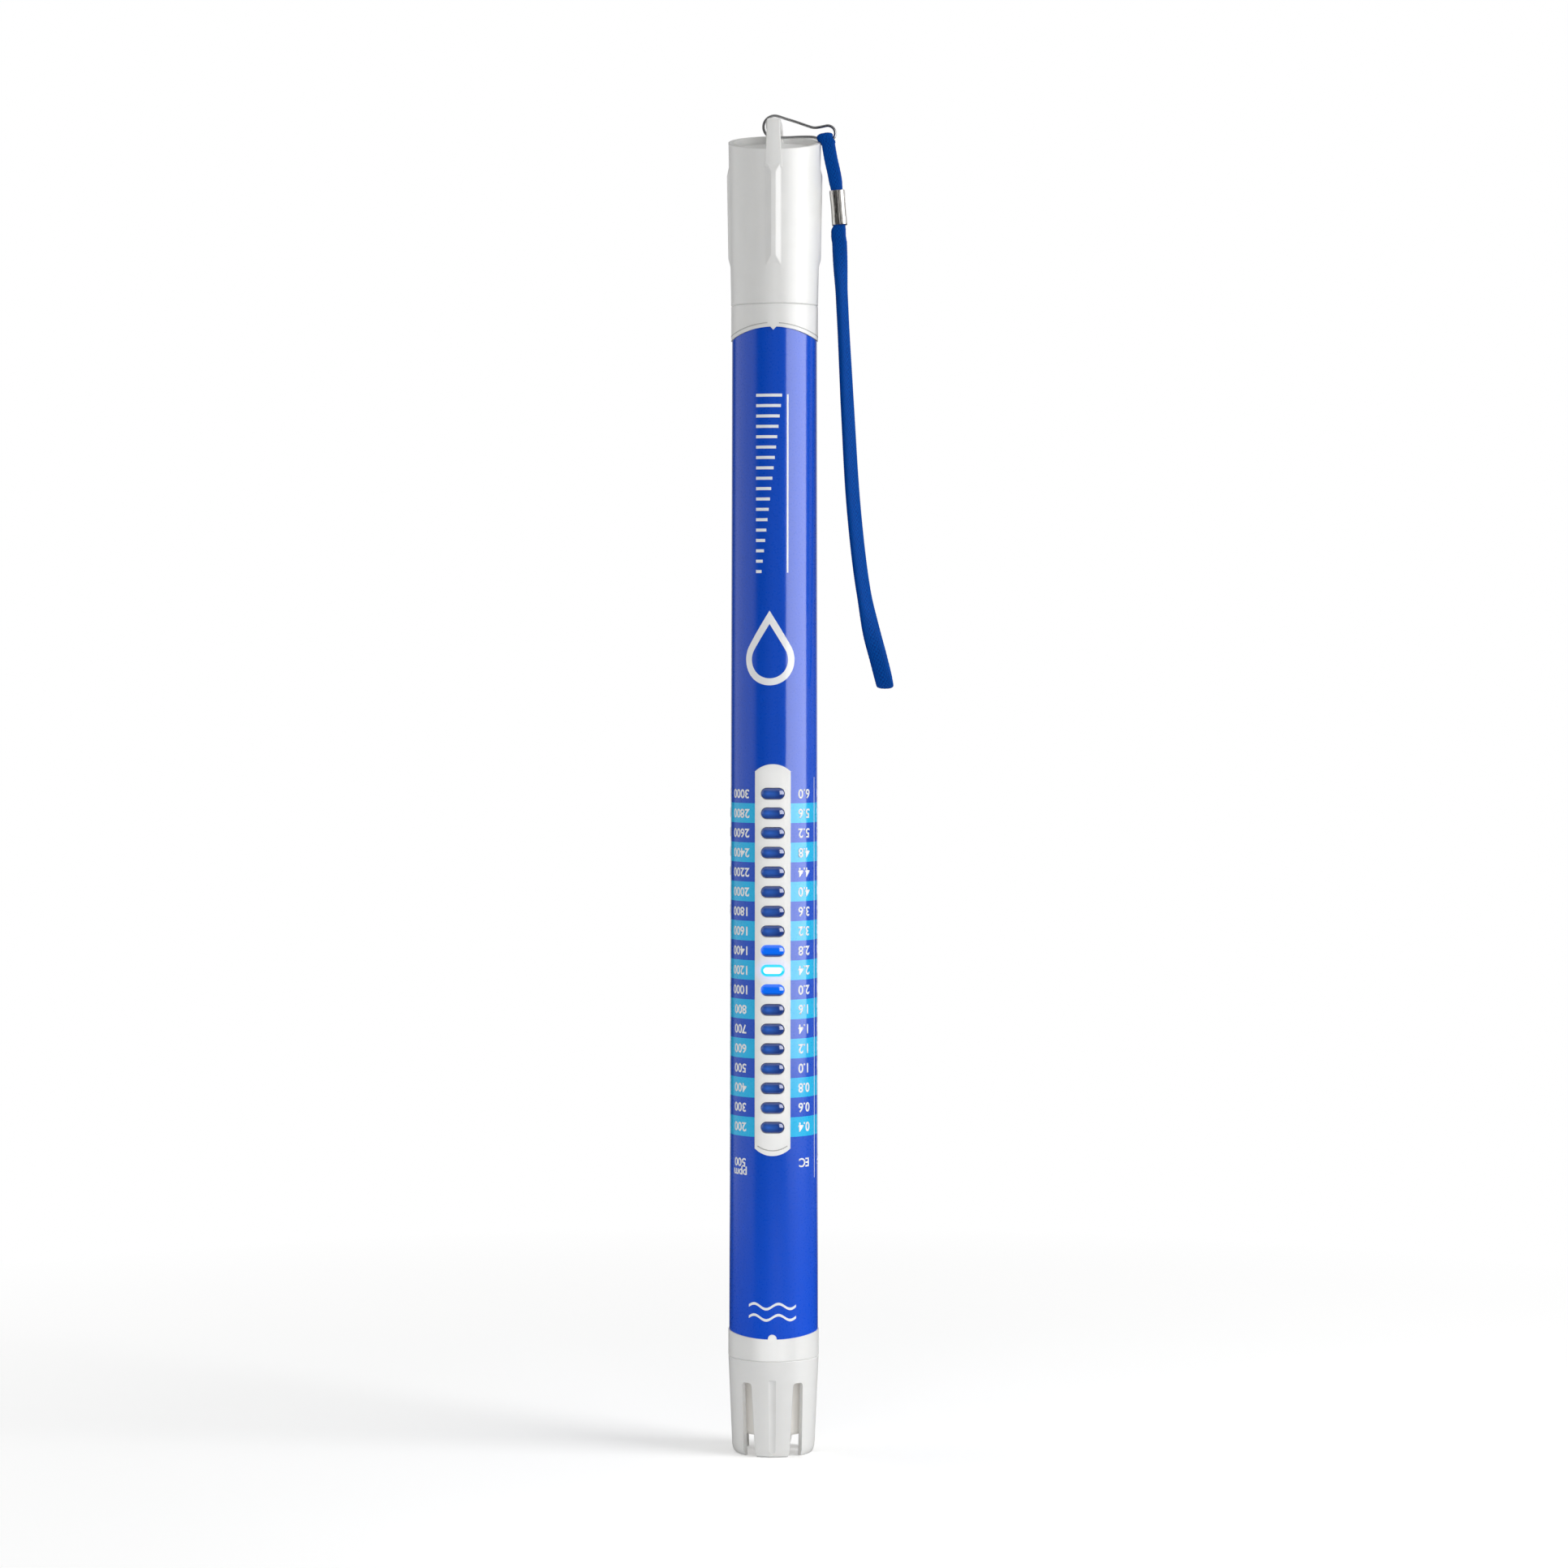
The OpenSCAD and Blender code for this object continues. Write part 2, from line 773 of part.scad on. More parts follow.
module shroud() {
    top = shroud_seam_z - seam_chamfer;
    foot = [for (a = [0:15:90]) [
        shroud_r_foot + 0.13 - foot_round[0] * (1 - sin(a)),
        foot_round[1] * (1 - cos(a))
    ]];
    outline = concat(
        [[shroud_foot_r, 0]], foot,
        [
            [shroud_r_top, top], [shroud_r_top - seam_chamfer, shroud_seam_z],
            [shroud_bore_r, shroud_seam_z], [shroud_bore_r, shroud_step_z],
            [shroud_step_r, shroud_step_z]
        ]
    );
    color("whitesmoke")
    difference() {
        rotate_extrude()
            polygon(outline);
        for (turn = [0, 180], side = [-1, 1])
            rotate([0, 0, turn + side * slot_angle])
                along_y(-far, -5)
                    polygon(slot_outline(side));
        for (side = [-90, 90])
            rotate([0, 0, side])
                along_y(-far, -5)
                    polygon([
                        [-side_slot_w[0] / 2, -1], [side_slot_w[0] / 2, -1],
                        [side_slot_w[1] / 2, slot_top], [-side_slot_w[1] / 2, slot_top]
                    ]);
        for (side = [-1, 1])
            flute(side);
    }
}

// ---- Cap, clip and strap ----

// Everything above a slanted plane that is parallel to the rim, drop below it
module above_rim(drop) {
    translate([0, 0, rim_z - drop])
        rotate([rim_tilt, 0, 0])
            translate([-far, -far, 0])
                cube([2 * far, 2 * far, far]);
}

// One grip rib with a bevelled top, on the front of the cap
module grip_rib() {
    lean = atan((cap_r_rim - cap_r_seam) / (rim_z - cap_seam_z));
    wall = cap_r_seam + (rib_z[0] - cap_seam_z) * tan(lean);
    length = rib_z[1] - rib_z[0];
    translate([0, -wall, rib_z[0]])
        rotate([lean, 0, 0])
            intersection() {
                linear_extrude(length)
                    polygon([
                        [-rib_w / 2, 1], [-rib_w / 2, 0.2], [-rib_crest_w / 2, -rib_out],
                        [rib_crest_w / 2, -rib_out], [rib_w / 2, 0.2], [rib_w / 2, 1]
                    ]);
                rotate([90, 0, 90])
                    translate([0, 0, -rib_w])
                        linear_extrude(2 * rib_w)
                            polygon([
                                [1, 0], [0.2, 0], [-rib_out, rib_end],
                                [-rib_out, length - rib_end], [0.2, length], [1, length]
                            ]);
            }
}

// The hanger: two legs that carry a bar with rounded edges from front to back
module hanger_arch() {
    sweep_angle = 2 * asin((cap_r_rim - 0.2) / arch_sweep_r);
    leg_top = arch_top - 1.2;
    leg_foot = rim_z - 9;
    reach = cap_r_rim - arch_leg;
    intersection() {
        union() {
            translate([0, 0, arch_top - arch_sweep_r])
                rotate([0, 90, 0])
                    rotate([0, 0, 180 - sweep_angle / 2])
                        rotate_extrude(angle = sweep_angle, $fn = 240)
                            translate([arch_sweep_r - bar_h / 2, 0])
                                round_rect(bar_h, bar_w, arch_round);
            for (side = [-1, 1])
                along_y(side < 0 ? -far : reach, side < 0 ? -reach : far)
                    polygon([
                        [-arch_base_w / 2, leg_foot], [arch_base_w / 2, leg_foot],
                        [bar_w / 2 - 0.3, leg_top], [0.3 - bar_w / 2, leg_top]
                    ]);
        }
        translate([0, 0, leg_foot])
            cylinder(h = far, r = cap_r_rim - 0.05);
        rotate([90, 0, 90])
            translate([0, arch_top - 15, -far])
                linear_extrude(2 * far)
                    round_rect(2 * cap_r_rim, 30, 2.2);
    }
}

module battery_cap() {
    slope = (cap_r_rim - cap_r_seam) / (rim_z - cap_seam_z);
    top = rim_z + 6;
    color("whitesmoke")
    union() {
        difference() {
            rotate_extrude()
                polygon([
                    [0, cap_seam_z], [cap_r_seam - seam_chamfer, cap_seam_z],
                    [cap_r_seam, cap_seam_z + seam_chamfer],
                    [cap_r_seam + slope * (top - cap_seam_z), top], [0, top]
                ]);
            above_rim(0);
            intersection() {
                above_rim(dish_depth);
                cylinder(h = rim_z + far, r = dish_r);
            }
            difference() {
                translate([0, 0, cap_seam_z - 1])
                    cylinder(h = rim_z - cap_seam_z + far, r = cap_bore_r);
                above_rim(dish_depth + roof_t);
                translate([-link_rib[0] / 2, -link_rib[1] / 2, link_z + contact_t + 0.05])
                    cube([link_rib[0], link_rib[1], far]);
            }
        }
        for (turn = [0:90:270])
            rotate([0, 0, turn])
                grip_rib();
        difference() {
            hanger_arch();
            cylinder(h = rim_z - dish_depth - 4, r = cap_bore_r);
        }
    }
}

// Strip that joins the two batteries' upper ends
module cap_link_plate() {
    color("silver")
    union() {
        translate([-link_size[0] / 2, -link_size[1] / 2, link_z])
            cube([link_size[0], link_size[1], contact_t]);
        translate([-battery_x, 0, battery_z1 + contact_gap])
            cylinder(h = link_z - battery_z1, r1 = link_dimple[0], r2 = link_dimple[1]);
    }
}

module cap_spring() {
    color("silver")
        spring(battery_x, battery_z1 + contact_gap, link_z - skin, coil_r, coil_wire, 3);
}

// The gourd-shaped wire that hangs on the arch's bar and carries the strap
module wire_clip() {
    side_view = concat(
        arc([0, bar_z], clip_big_r, 70, 290, 11),
        [for (i = [len(clip_lower) - 1:-1:0]) clip_lower[i]],
        arc(clip_small, clip_small_r, -120, 110, 11),
        [for (i = [len(clip_upper) - 1:-1:0]) clip_upper[i]]
    );
    route = [for (p = side_view) [p[0], 0, p[1]]];
    color("slategray")
        sweep(route, [for (p = route) [wire_d, wire_d]], [for (p = route) [0, 1, 0]],
            loop = true, sides = 10);
}

// Size of the braid at a point: drawn in at the clip's wire and inside the crimp
function strap_size(p) =
    abs(p[1]) < 1 && p[2] > 300 ? [3, 1.9]
    : abs(p[1]) < 1.5 && p[2] > 398 ? [3.4, 2]
    : p[2] > 384 ? [4, strap_t]
    : p[2] > 372.5 ? [3.7, 2.1]
    : [strap_w, strap_t];

// Direction of the braid's width: face-on at both ends, turned in between
function strap_turn(p) = p[2] > 370 || p[2] < 240 ? 0
    : 48 * min(1, (370 - p[2]) / 18, (p[2] - 240) / 25);

module wrist_strap() {
    color("mediumblue")
        sweep(strap_route, [for (p = strap_route) strap_size(p)],
            [for (p = strap_route) [cos(strap_turn(p)), sin(strap_turn(p)), 0]]);
}

module strap_crimp() {
    lean = atan((crimp_foot[0] - crimp_top[0]) / (crimp_top[1] - crimp_foot[1]));
    color("gainsboro")
        translate([crimp_foot[0], 0, crimp_foot[1]])
            rotate([0, -lean, 0])
                linear_extrude(crimp_len)
                    difference() {
                        round_rect(crimp_bore[0] + 2 * crimp_t, crimp_bore[1] + 2 * crimp_t, crimp_round[0]);
                        round_rect(crimp_bore[0], crimp_bore[1], crimp_round[1]);
                    }
}

body_tube();
label_wrap();
lens_strip();
led_baffle();
scale_leds();
main_pcb();
microcontroller();
crystal();
board_components();
battery_housing();
neck_o_ring();
battery_left();
battery_right();
negative_contact();
positive_contact();
battery_lead_red();
battery_lead_black();
probe_body();
electrode_left();
electrode_right();
thermistor();
probe_o_ring();
probe_potting();
probe_wires();
shroud();
battery_cap();
cap_link_plate();
cap_spring();
wire_clip();
wrist_strap();
strap_crimp();
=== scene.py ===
"""Looks of the hand-held nutrient strength meter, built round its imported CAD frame.

Metres, in the CAD frame: +Z up the tube, -Y out of the lamps, +X to the strap.
"""

import math

import bmesh
import bpy
from mathutils import Matrix, Quaternion, Vector


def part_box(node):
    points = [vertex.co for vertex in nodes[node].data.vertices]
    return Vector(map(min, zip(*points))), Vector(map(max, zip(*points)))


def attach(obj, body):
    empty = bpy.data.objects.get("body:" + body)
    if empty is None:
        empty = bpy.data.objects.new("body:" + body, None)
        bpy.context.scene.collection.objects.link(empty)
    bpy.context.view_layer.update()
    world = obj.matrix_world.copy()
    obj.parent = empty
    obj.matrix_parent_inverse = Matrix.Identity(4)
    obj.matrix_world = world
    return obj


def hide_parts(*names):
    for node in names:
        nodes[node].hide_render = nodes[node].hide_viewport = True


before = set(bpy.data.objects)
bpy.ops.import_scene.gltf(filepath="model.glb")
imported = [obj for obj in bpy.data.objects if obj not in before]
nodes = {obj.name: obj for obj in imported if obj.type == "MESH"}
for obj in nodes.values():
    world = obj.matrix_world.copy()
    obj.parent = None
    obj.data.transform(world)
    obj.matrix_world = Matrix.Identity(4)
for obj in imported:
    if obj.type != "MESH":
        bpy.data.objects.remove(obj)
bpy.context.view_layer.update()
scene = bpy.context.scene
MM = 0.001

# ---- Camera ----

CAMERA_PLACE = (0.0030, -1.284, 0.245)
CAMERA_TARGET = (0.0030, 0.0, 0.2154)
CAMERA_ORBIT = 1.6
CAMERA_ROLL = 0.06
CAMERA_LENS = 96.9
CAMERA_SHIFT = -0.0247


def make_camera():
    camera = bpy.data.objects.new("camera", bpy.data.cameras.new("camera"))
    scene.collection.objects.link(camera)
    camera.data.sensor_width = 36
    camera.data.lens = CAMERA_LENS
    camera.data.shift_y = CAMERA_SHIFT
    orbit = Matrix.Rotation(math.radians(CAMERA_ORBIT), 3, "Z")
    camera.location = orbit @ Vector(CAMERA_PLACE)
    aim = orbit @ (Vector(CAMERA_TARGET) - Vector(CAMERA_PLACE))
    roll = Quaternion((0, 0, 1), math.radians(CAMERA_ROLL))
    camera.rotation_euler = (aim.to_track_quat("-Z", "Y") @ roll).to_euler()
    scene.camera = camera


make_camera()

# ---- Sizes read from the frame ----

LAMPS = 18
LIT_LAMP = 8
LED_H = 0.0018
led_lo, led_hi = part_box("scale_leds")
lamp_pitch = (led_hi.z - led_lo.z - LED_H) / (LAMPS - 1)
lamp_z0 = led_lo.z + LED_H / 2
label_lo, label_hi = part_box("label_wrap")


def lamp_z(i):
    return lamp_z0 + i * lamp_pitch


def radius_near(node, z, reach=0.004):
    """Largest radius of a CAD node's vertices near a height."""
    return max(v.co.xy.length for v in nodes[node].data.vertices if abs(v.co.z - z) < reach)


label_r_lo = radius_near("label_wrap", label_lo.z)
label_r_hi = radius_near("label_wrap", label_hi.z)


def label_r(z):
    return label_r_lo + (label_r_hi - label_r_lo) * (z - label_lo.z) / (label_hi.z - label_lo.z)


# ---- Mesh helpers ----


def new_object(name, verts, faces):
    """A smooth-shaded object."""
    mesh = bpy.data.meshes.new(name)
    mesh.from_pydata([tuple(v) for v in verts], [], faces)
    mesh.validate()
    obj = bpy.data.objects.new(name, mesh)
    scene.collection.objects.link(obj)
    mesh.polygons.foreach_set("use_smooth", [True] * len(mesh.polygons))
    return obj


def weld(obj, distance=1e-6):
    """Merges doubled vertices and turns all faces outwards."""
    bm = bmesh.new()
    bm.from_mesh(obj.data)
    bmesh.ops.remove_doubles(bm, verts=bm.verts, dist=distance)
    bmesh.ops.recalc_face_normals(bm, faces=bm.faces)
    bm.to_mesh(obj.data)
    bm.free()
    return obj


def sharp_edges(obj):
    """Keeps the shading smooth across shallow edges only."""
    split = obj.modifiers.new("sharp edges", "EDGE_SPLIT")
    split.split_angle = math.radians(40)


def loft(rings, close_v=False, cap=False):
    """Vertices and faces of a surface through closed rings of the same number of points.

    close_v joins the last ring to the first, and cap closes both ends.
    """
    n, k = len(rings), len(rings[0])
    verts = [p for ring in rings for p in ring]
    faces = []
    for i in range(n if close_v else n - 1):
        a, b = i * k, ((i + 1) % n) * k
        for j in range(k):
            faces.append((a + j, a + (j + 1) % k, b + (j + 1) % k, b + j))
    if cap:
        faces.append(tuple(reversed(range(k))))
        faces.append(tuple((n - 1) * k + j for j in range(k)))
    return verts, faces


def smooth_path(points, step, closed=False):
    """Points of a Catmull-Rom curve through the given ones, about step apart."""
    pts = [Vector(p) for p in points]
    n = len(pts)
    out = []
    for i in range(n if closed else n - 1):
        p1, p2 = pts[i], pts[(i + 1) % n]
        p0 = pts[i - 1] if closed or i else p1 * 2 - p2
        p3 = pts[(i + 2) % n] if closed or i + 2 < n else p2 * 2 - p1
        count = max(2, round((p2 - p1).length / step))
        for s in range(count):
            t = s / count
            out.append(
                0.5 * (2 * p1 + (p2 - p0) * t + (2 * p0 - 5 * p1 + 4 * p2 - p3) * t * t
                       + (3 * p1 - p0 - 3 * p2 + p3) * t * t * t)
            )
    if not closed:
        out.append(pts[-1])
    return out


def on_cylinder(across, z, out=0.0, angle=0.0):
    """A point on the label's surface. across runs round it from the front, in metres."""
    r = label_r(z)
    a = angle + across / r
    return Vector(((r + out) * math.sin(a), -(r + out) * math.cos(a), z))


# ---- Material helpers ----


def add_node(tree, kind, inputs=None, **settings):
    """A new shader node. Its inputs are values, or sockets to link to."""
    node = tree.nodes.new(kind)
    for key, value in settings.items():
        setattr(node, key, value)
    for key, value in (inputs or {}).items():
        if isinstance(value, bpy.types.NodeSocket):
            tree.links.new(value, node.inputs[key])
        else:
            node.inputs[key].default_value = value
    return node


class Shader:
    """A material with a Principled surface, and short ways to add nodes to it."""

    def __init__(self, name, color, **sockets):
        self.mat = bpy.data.materials.new(name)
        self.mat.use_nodes = True
        self.tree = self.mat.node_tree
        self.bsdf = self.tree.nodes["Principled BSDF"]
        self.bsdf.inputs["Base Color"].default_value = (*color, 1)
        for key, value in sockets.items():
            self.bsdf.inputs[key.replace("_", " ")].default_value = value
        self.where = self.add("ShaderNodeTexCoord").outputs["Object"]

    def add(self, kind, inputs=None, **settings):
        return add_node(self.tree, kind, inputs, **settings)

    def math(self, operation, *values):
        node = self.add("ShaderNodeMath", dict(enumerate(values)), operation=operation)
        return node.outputs[0]

    def times(self, first, *others):
        """The product of all the values."""
        for other in others:
            first = self.math("MULTIPLY", first, other)
        return first

    def distance(self, a, b):
        """The length of the flat vector (a, b)."""
        return self.math("SQRT", self.math("ADD", self.times(a, a), self.times(b, b)))

    def noise(self, scale, detail=3.0, stretch=(1, 1, 1)):
        place = self.add("ShaderNodeMapping", {"Vector": self.where, "Scale": stretch})
        return self.add("ShaderNodeTexNoise",
                        {"Vector": place.outputs[0], "Scale": scale, "Detail": detail}).outputs["Fac"]

    def spread(self, value, low, high, start=0.3, end=0.7):
        """value mapped from start..end to low..high."""
        node = self.add("ShaderNodeMapRange", {"Value": value, "From Min": start, "From Max": end,
                                               "To Min": low, "To Max": high})
        return node.outputs[0]

    def mix(self, factor, first, second):
        node = self.add("ShaderNodeMix", data_type="RGBA")
        for socket, value in (("Factor", factor), ("A", first), ("B", second)):
            target = [i for i in node.inputs if i.name == socket and i.enabled][0]
            if isinstance(value, bpy.types.NodeSocket):
                self.tree.links.new(value, target)
            else:
                target.default_value = value if socket == "Factor" else (*value, 1)
        return [o for o in node.outputs if o.enabled][0]

    def link(self, value, socket):
        self.tree.links.new(value, self.bsdf.inputs[socket])

    def bump(self, height, distance, strength=1.0, soft_edge=0.0):
        inputs = {"Height": height, "Distance": distance, "Strength": strength}
        if soft_edge:
            inputs["Normal"] = self.add("ShaderNodeBevel", {"Radius": soft_edge}, samples=6).outputs[0]
        self.link(self.add("ShaderNodeBump", inputs).outputs[0], "Normal")

    def axes(self):
        """The object-space X, Y and Z of the shaded point."""
        parts = self.add("ShaderNodeSeparateXYZ", {0: self.where}).outputs
        return parts[0], parts[1], parts[2]


def speckled(name, color, dark, roughness, scale=900, edge=0.0, bump=4e-6, **sockets):
    """A moulded or coated surface: faint mottle in colour and gloss, fine texture, soft edges."""
    s = Shader(name, color, **sockets)
    mottle = s.noise(scale * 0.12, 4)
    grain = s.noise(scale, 3)
    s.link(s.mix(s.spread(mottle, 0.0, 1.0), color, dark), "Base Color")
    s.link(s.spread(grain, roughness * 0.85, roughness * 1.2), "Roughness")
    s.bump(grain, bump, soft_edge=edge)
    return s


# Colours that more than one place uses, or that the photograph settles
WHITE = (0.82, 0.82, 0.81)
WHITE_SHADE = (0.805, 0.805, 0.793)
LABEL_BLUE = (0.0, 0.072, 0.58)
LABEL_SHADE = (0.0, 0.07, 0.565)
# Brighter, bluer film towards the foot: painted light from the floor
LABEL_FOOT_LIT = (0.0, 0.08, 0.7)
BAND_CYAN = (0.0, 0.5, 0.88)
BAND_SHADE = (0.0, 0.48, 0.85)
GLOW_BLUE = (0.16, 0.22, 1.0)
LENS_NAVY = (0.009, 0.045, 0.26)
LENS_DEEP = (0.006, 0.03, 0.17)
# The lighter blue painted into each lens left of its middle: painted light
LENS_PAINTED_LIGHT = (0.045, 0.2, 0.85)
LENS_NEAR_LIT = (0.0, 0.01, 0.06)
SPILL_BLUE = (0.0, 0.16, 1.0)
LIT_RIM = (0.0, 0.72, 0.95)
PURE_WHITE = (1.0, 1.0, 1.0)
YARN_BLUE = (0.0, 0.055, 0.31)
YARN_LIGHT = (0.0, 0.078, 0.4)
# Painted shade where the yarns sink between each other
YARN_GAP_SHADE = (0.0, 0.01, 0.11)

# The white strip between the lenses glows faintly, down to nothing at its sides
STRIP_GLOW = 0.13
STRIP_REACH = (0.003, 0.0065)
# The probe glows faintly too, to match the photograph behind the shroud's slots
PROBE_GLOW = 0.12
# The lit lamp's halo on the strip is wider than it is high, and fades over this reach
HALO_GLOW = 0.32
HALO_SQUASH = 0.62
HALO_REACH = (0.0018, 0.0052)
# Where each lens has its painted light, a lighter patch left of its middle, and the white bar in the lit one
LENS_LIGHT_LEFT = 0.0013
LENS_LIGHT_SQUASH = 0.4
LENS_LIGHT_REACH = 0.0015
LIT_BAR_HALF = 0.0018
LIT_BAR_REACH = (0.0007, 0.0011)
# How far round from the front the label's cyan bands go
BAND_ANGLE = math.radians(113)


def white_plastic(name, glow=False, edge=0.0003):
    """The housing's white plastic. With glow, its front is lit round the lamps."""
    s = speckled(name, WHITE, WHITE_SHADE, 0.34, 1600, edge, 1.5e-6,
                 Subsurface_Weight=0.12, Subsurface_Scale=0.0012, Coat_Weight=0.12, Coat_Roughness=0.2)
    s.bsdf.inputs["Subsurface Radius"].default_value = (1.0, 0.9, 0.8)
    if glow:
        x, y, z = s.axes()
        far = s.distance(s.times(x, HALO_SQUASH), s.math("SUBTRACT", z, lamp_z(LIT_LAMP)))
        halo = s.spread(far, 1.0, 0.0, *HALO_REACH)
        front = s.math("LESS_THAN", y, 0.0)
        lamp_glow = s.times(halo, halo, front, HALO_GLOW)
        near = s.spread(s.math("ABSOLUTE", x), 1.0, 0.0, *STRIP_REACH)
        level = s.spread(z, 1.0, 0.0, lamp_z(LAMPS), lamp_z(LAMPS + 2))
        strip_glow = s.times(near, level, front, STRIP_GLOW)
        s.link(s.mix(halo, PURE_WHITE, GLOW_BLUE), "Emission Color")
        s.link(s.math("ADD", lamp_glow, strip_glow), "Emission Strength")
    return s.mat


def label_film(name):
    """Blue printed film: alternate cyan bands beside the lamps, gloss laminate over the ink."""
    s = Shader(name, LABEL_BLUE, Roughness=0.28, Coat_Weight=1.0, Coat_Roughness=0.12, Coat_IOR=1.6,
               Specular_IOR_Level=0.2)
    x, y, z = s.axes()
    row = s.math("DIVIDE", s.math("SUBTRACT", z, lamp_z0 - lamp_pitch / 2), lamp_pitch * 2)
    banded = s.math("LESS_THAN", s.math("FRACT", row), 0.5)
    inside = s.times(s.math("GREATER_THAN", row, 0.0), s.math("LESS_THAN", row, LAMPS / 2))
    angle = s.math("ABSOLUTE", s.math("ARCTAN2", x, s.times(y, -1.0)))
    beside = s.math("LESS_THAN", angle, BAND_ANGLE)
    mask = s.times(banded, inside, beside)
    ink = s.noise(2200, 3)
    blue = s.mix(s.spread(ink, 0.0, 1.0), LABEL_BLUE, LABEL_SHADE)
    cyan = s.mix(s.spread(ink, 0.0, 1.0), BAND_CYAN, BAND_SHADE)
    # Painted light: the film's blue grows brighter towards its foot, standing for bounce from the floor
    low = s.spread(z, 1.0, 0.0, label_lo.z, lamp_z(2))
    s.link(s.mix(mask, s.mix(low, blue, LABEL_FOOT_LIT), cyan), "Base Color")
    s.link(s.spread(s.noise(1500, 2), 0.272, 0.28), "Roughness")
    s.bump(s.noise(1800, 2), 8e-8)
    return s.mat


def white_ink(name):
    """The label's white print."""
    return speckled(name, (0.94, 0.95, 0.96), (0.9, 0.91, 0.93), 0.36, 2500, 0.0, 1e-6,
                    Coat_Weight=0.6, Coat_Roughness=0.12).mat


def lens_tint(name):
    """Tinted clear plastic. One lamp is lit white behind its lens and spills into its neighbours."""
    s = Shader(name, LENS_NAVY, Roughness=0.12, Coat_Weight=1.0, Coat_Roughness=0.12, Coat_IOR=1.7,
               IOR=1.8)
    x, _, z = s.axes()
    within = s.math("FRACT", s.math("DIVIDE", s.math("SUBTRACT", z, lamp_z0 - lamp_pitch / 2), lamp_pitch))
    up = s.times(s.math("SUBTRACT", within, 0.5), lamp_pitch)
    # Painted light: each lens's colour is lighter a little left of its middle
    from_lit_core = s.distance(s.times(s.math("ADD", x, LENS_LIGHT_LEFT), LENS_LIGHT_SQUASH), up)
    lit_core = s.spread(from_lit_core, 0.85, 0.0, 0.0, LENS_LIGHT_REACH)
    tint = s.mix(lit_core, LENS_NAVY, LENS_PAINTED_LIGHT)
    row = s.math("ABSOLUTE", s.math("SUBTRACT", z, lamp_z(LIT_LAMP)))
    lit = s.math("LESS_THAN", row, lamp_pitch / 2)
    unlit = s.mix(s.spread(s.noise(300, 2), 0.0, 0.3), tint, LENS_DEEP)
    near_lit = s.math("LESS_THAN", row, lamp_pitch * 1.5)
    s.link(s.mix(near_lit, unlit, LENS_NEAR_LIT), "Base Color")
    beside = s.times(near_lit, s.math("SUBTRACT", 1.0, lit))
    # The lit lens is white in a bar along its middle, with a cyan rim
    end = s.math("MAXIMUM", s.math("SUBTRACT", s.math("ABSOLUTE", x), LIT_BAR_HALF), 0.0)
    bright = s.spread(s.distance(end, row), 1.0, 0.0, *LIT_BAR_REACH)
    glow = s.mix(bright, LIT_RIM, PURE_WHITE)
    s.link(s.mix(lit, SPILL_BLUE, glow), "Emission Color")
    # Its neighbours glow most in their upper part
    spill = s.spread(up, 0.12, 0.9, -0.0015, -0.0007)
    strength = s.math("ADD", s.times(lit, s.spread(bright, 1.0, 2.6, 0.0, 1.0)),
                      s.times(beside, spill))
    s.link(strength, "Emission Strength")
    s.bump(s.noise(140, 2), 2e-6)
    return s.mat


def braid_fabric(name):
    """Woven cord: the layer named yarn holds how high each yarn stands, and the colour darkens where it is
    low as painted shade.
    """
    s = Shader(name, (0.0, 0.055, 0.32), Roughness=0.7, Sheen_Weight=0.03, Sheen_Roughness=0.4)
    s.bsdf.inputs["Sheen Tint"].default_value = (0.0, 0.4, 1.0, 1)
    s.bsdf.inputs["Specular IOR Level"].default_value = 0.05
    fibre = s.noise(5200, 4, (1, 1, 0.35))
    crown = s.add("ShaderNodeVertexColor", layer_name="yarn").outputs["Color"]
    yarn = s.mix(s.spread(fibre, 0.0, 1.0), YARN_BLUE, YARN_LIGHT)
    # Painted shade: the colour darkens between the yarns, where they stand low
    s.link(s.mix(s.spread(crown, 0.0, 1.0, 0.2, 0.8), YARN_GAP_SHADE, yarn), "Base Color")
    s.link(s.spread(fibre, 0.5, 0.75), "Roughness")
    s.bump(fibre, 2.5e-5, 0.8)
    return s.mat


def metal(name, color, dark, roughness, grain=(1, 1, 0.04), edge=0.0):
    """Bare metal with fine streaks along the axis that grain stretches."""
    s = Shader(name, color, Metallic=1.0, Roughness=roughness)
    streak = s.noise(5200, 4, grain)
    s.link(s.mix(s.spread(streak, 0.0, 1.0), color, dark), "Base Color")
    s.link(s.spread(streak, roughness * 0.75, roughness * 1.35), "Roughness")
    s.bump(streak, 2e-6, 0.7, soft_edge=edge)
    return s.mat


def circuit_board(name):
    """Green solder mask with copper tracks under it and pale pads."""
    green, dark_green, track_green = (0.012, 0.16, 0.06), (0.008, 0.12, 0.045), (0.05, 0.3, 0.1)
    s = Shader(name, green, Roughness=0.35, Coat_Weight=0.4, Coat_Roughness=0.25)
    place = s.add("ShaderNodeMapping", {"Vector": s.where, "Scale": (1, 1, 0.3)}).outputs[0]
    cells = s.add("ShaderNodeTexBrick", {"Vector": place, "Scale": 420.0, "Mortar Size": 0.035},
                  offset=0.35)
    tracks = s.spread(cells.outputs["Fac"], 0.0, 1.0, 0.3, 0.6)
    mask = s.mix(s.spread(s.noise(300, 3), 0.0, 1.0), green, dark_green)
    s.link(s.mix(tracks, mask, track_green), "Base Color")
    s.bump(tracks, 1.2e-5)
    return s.mat


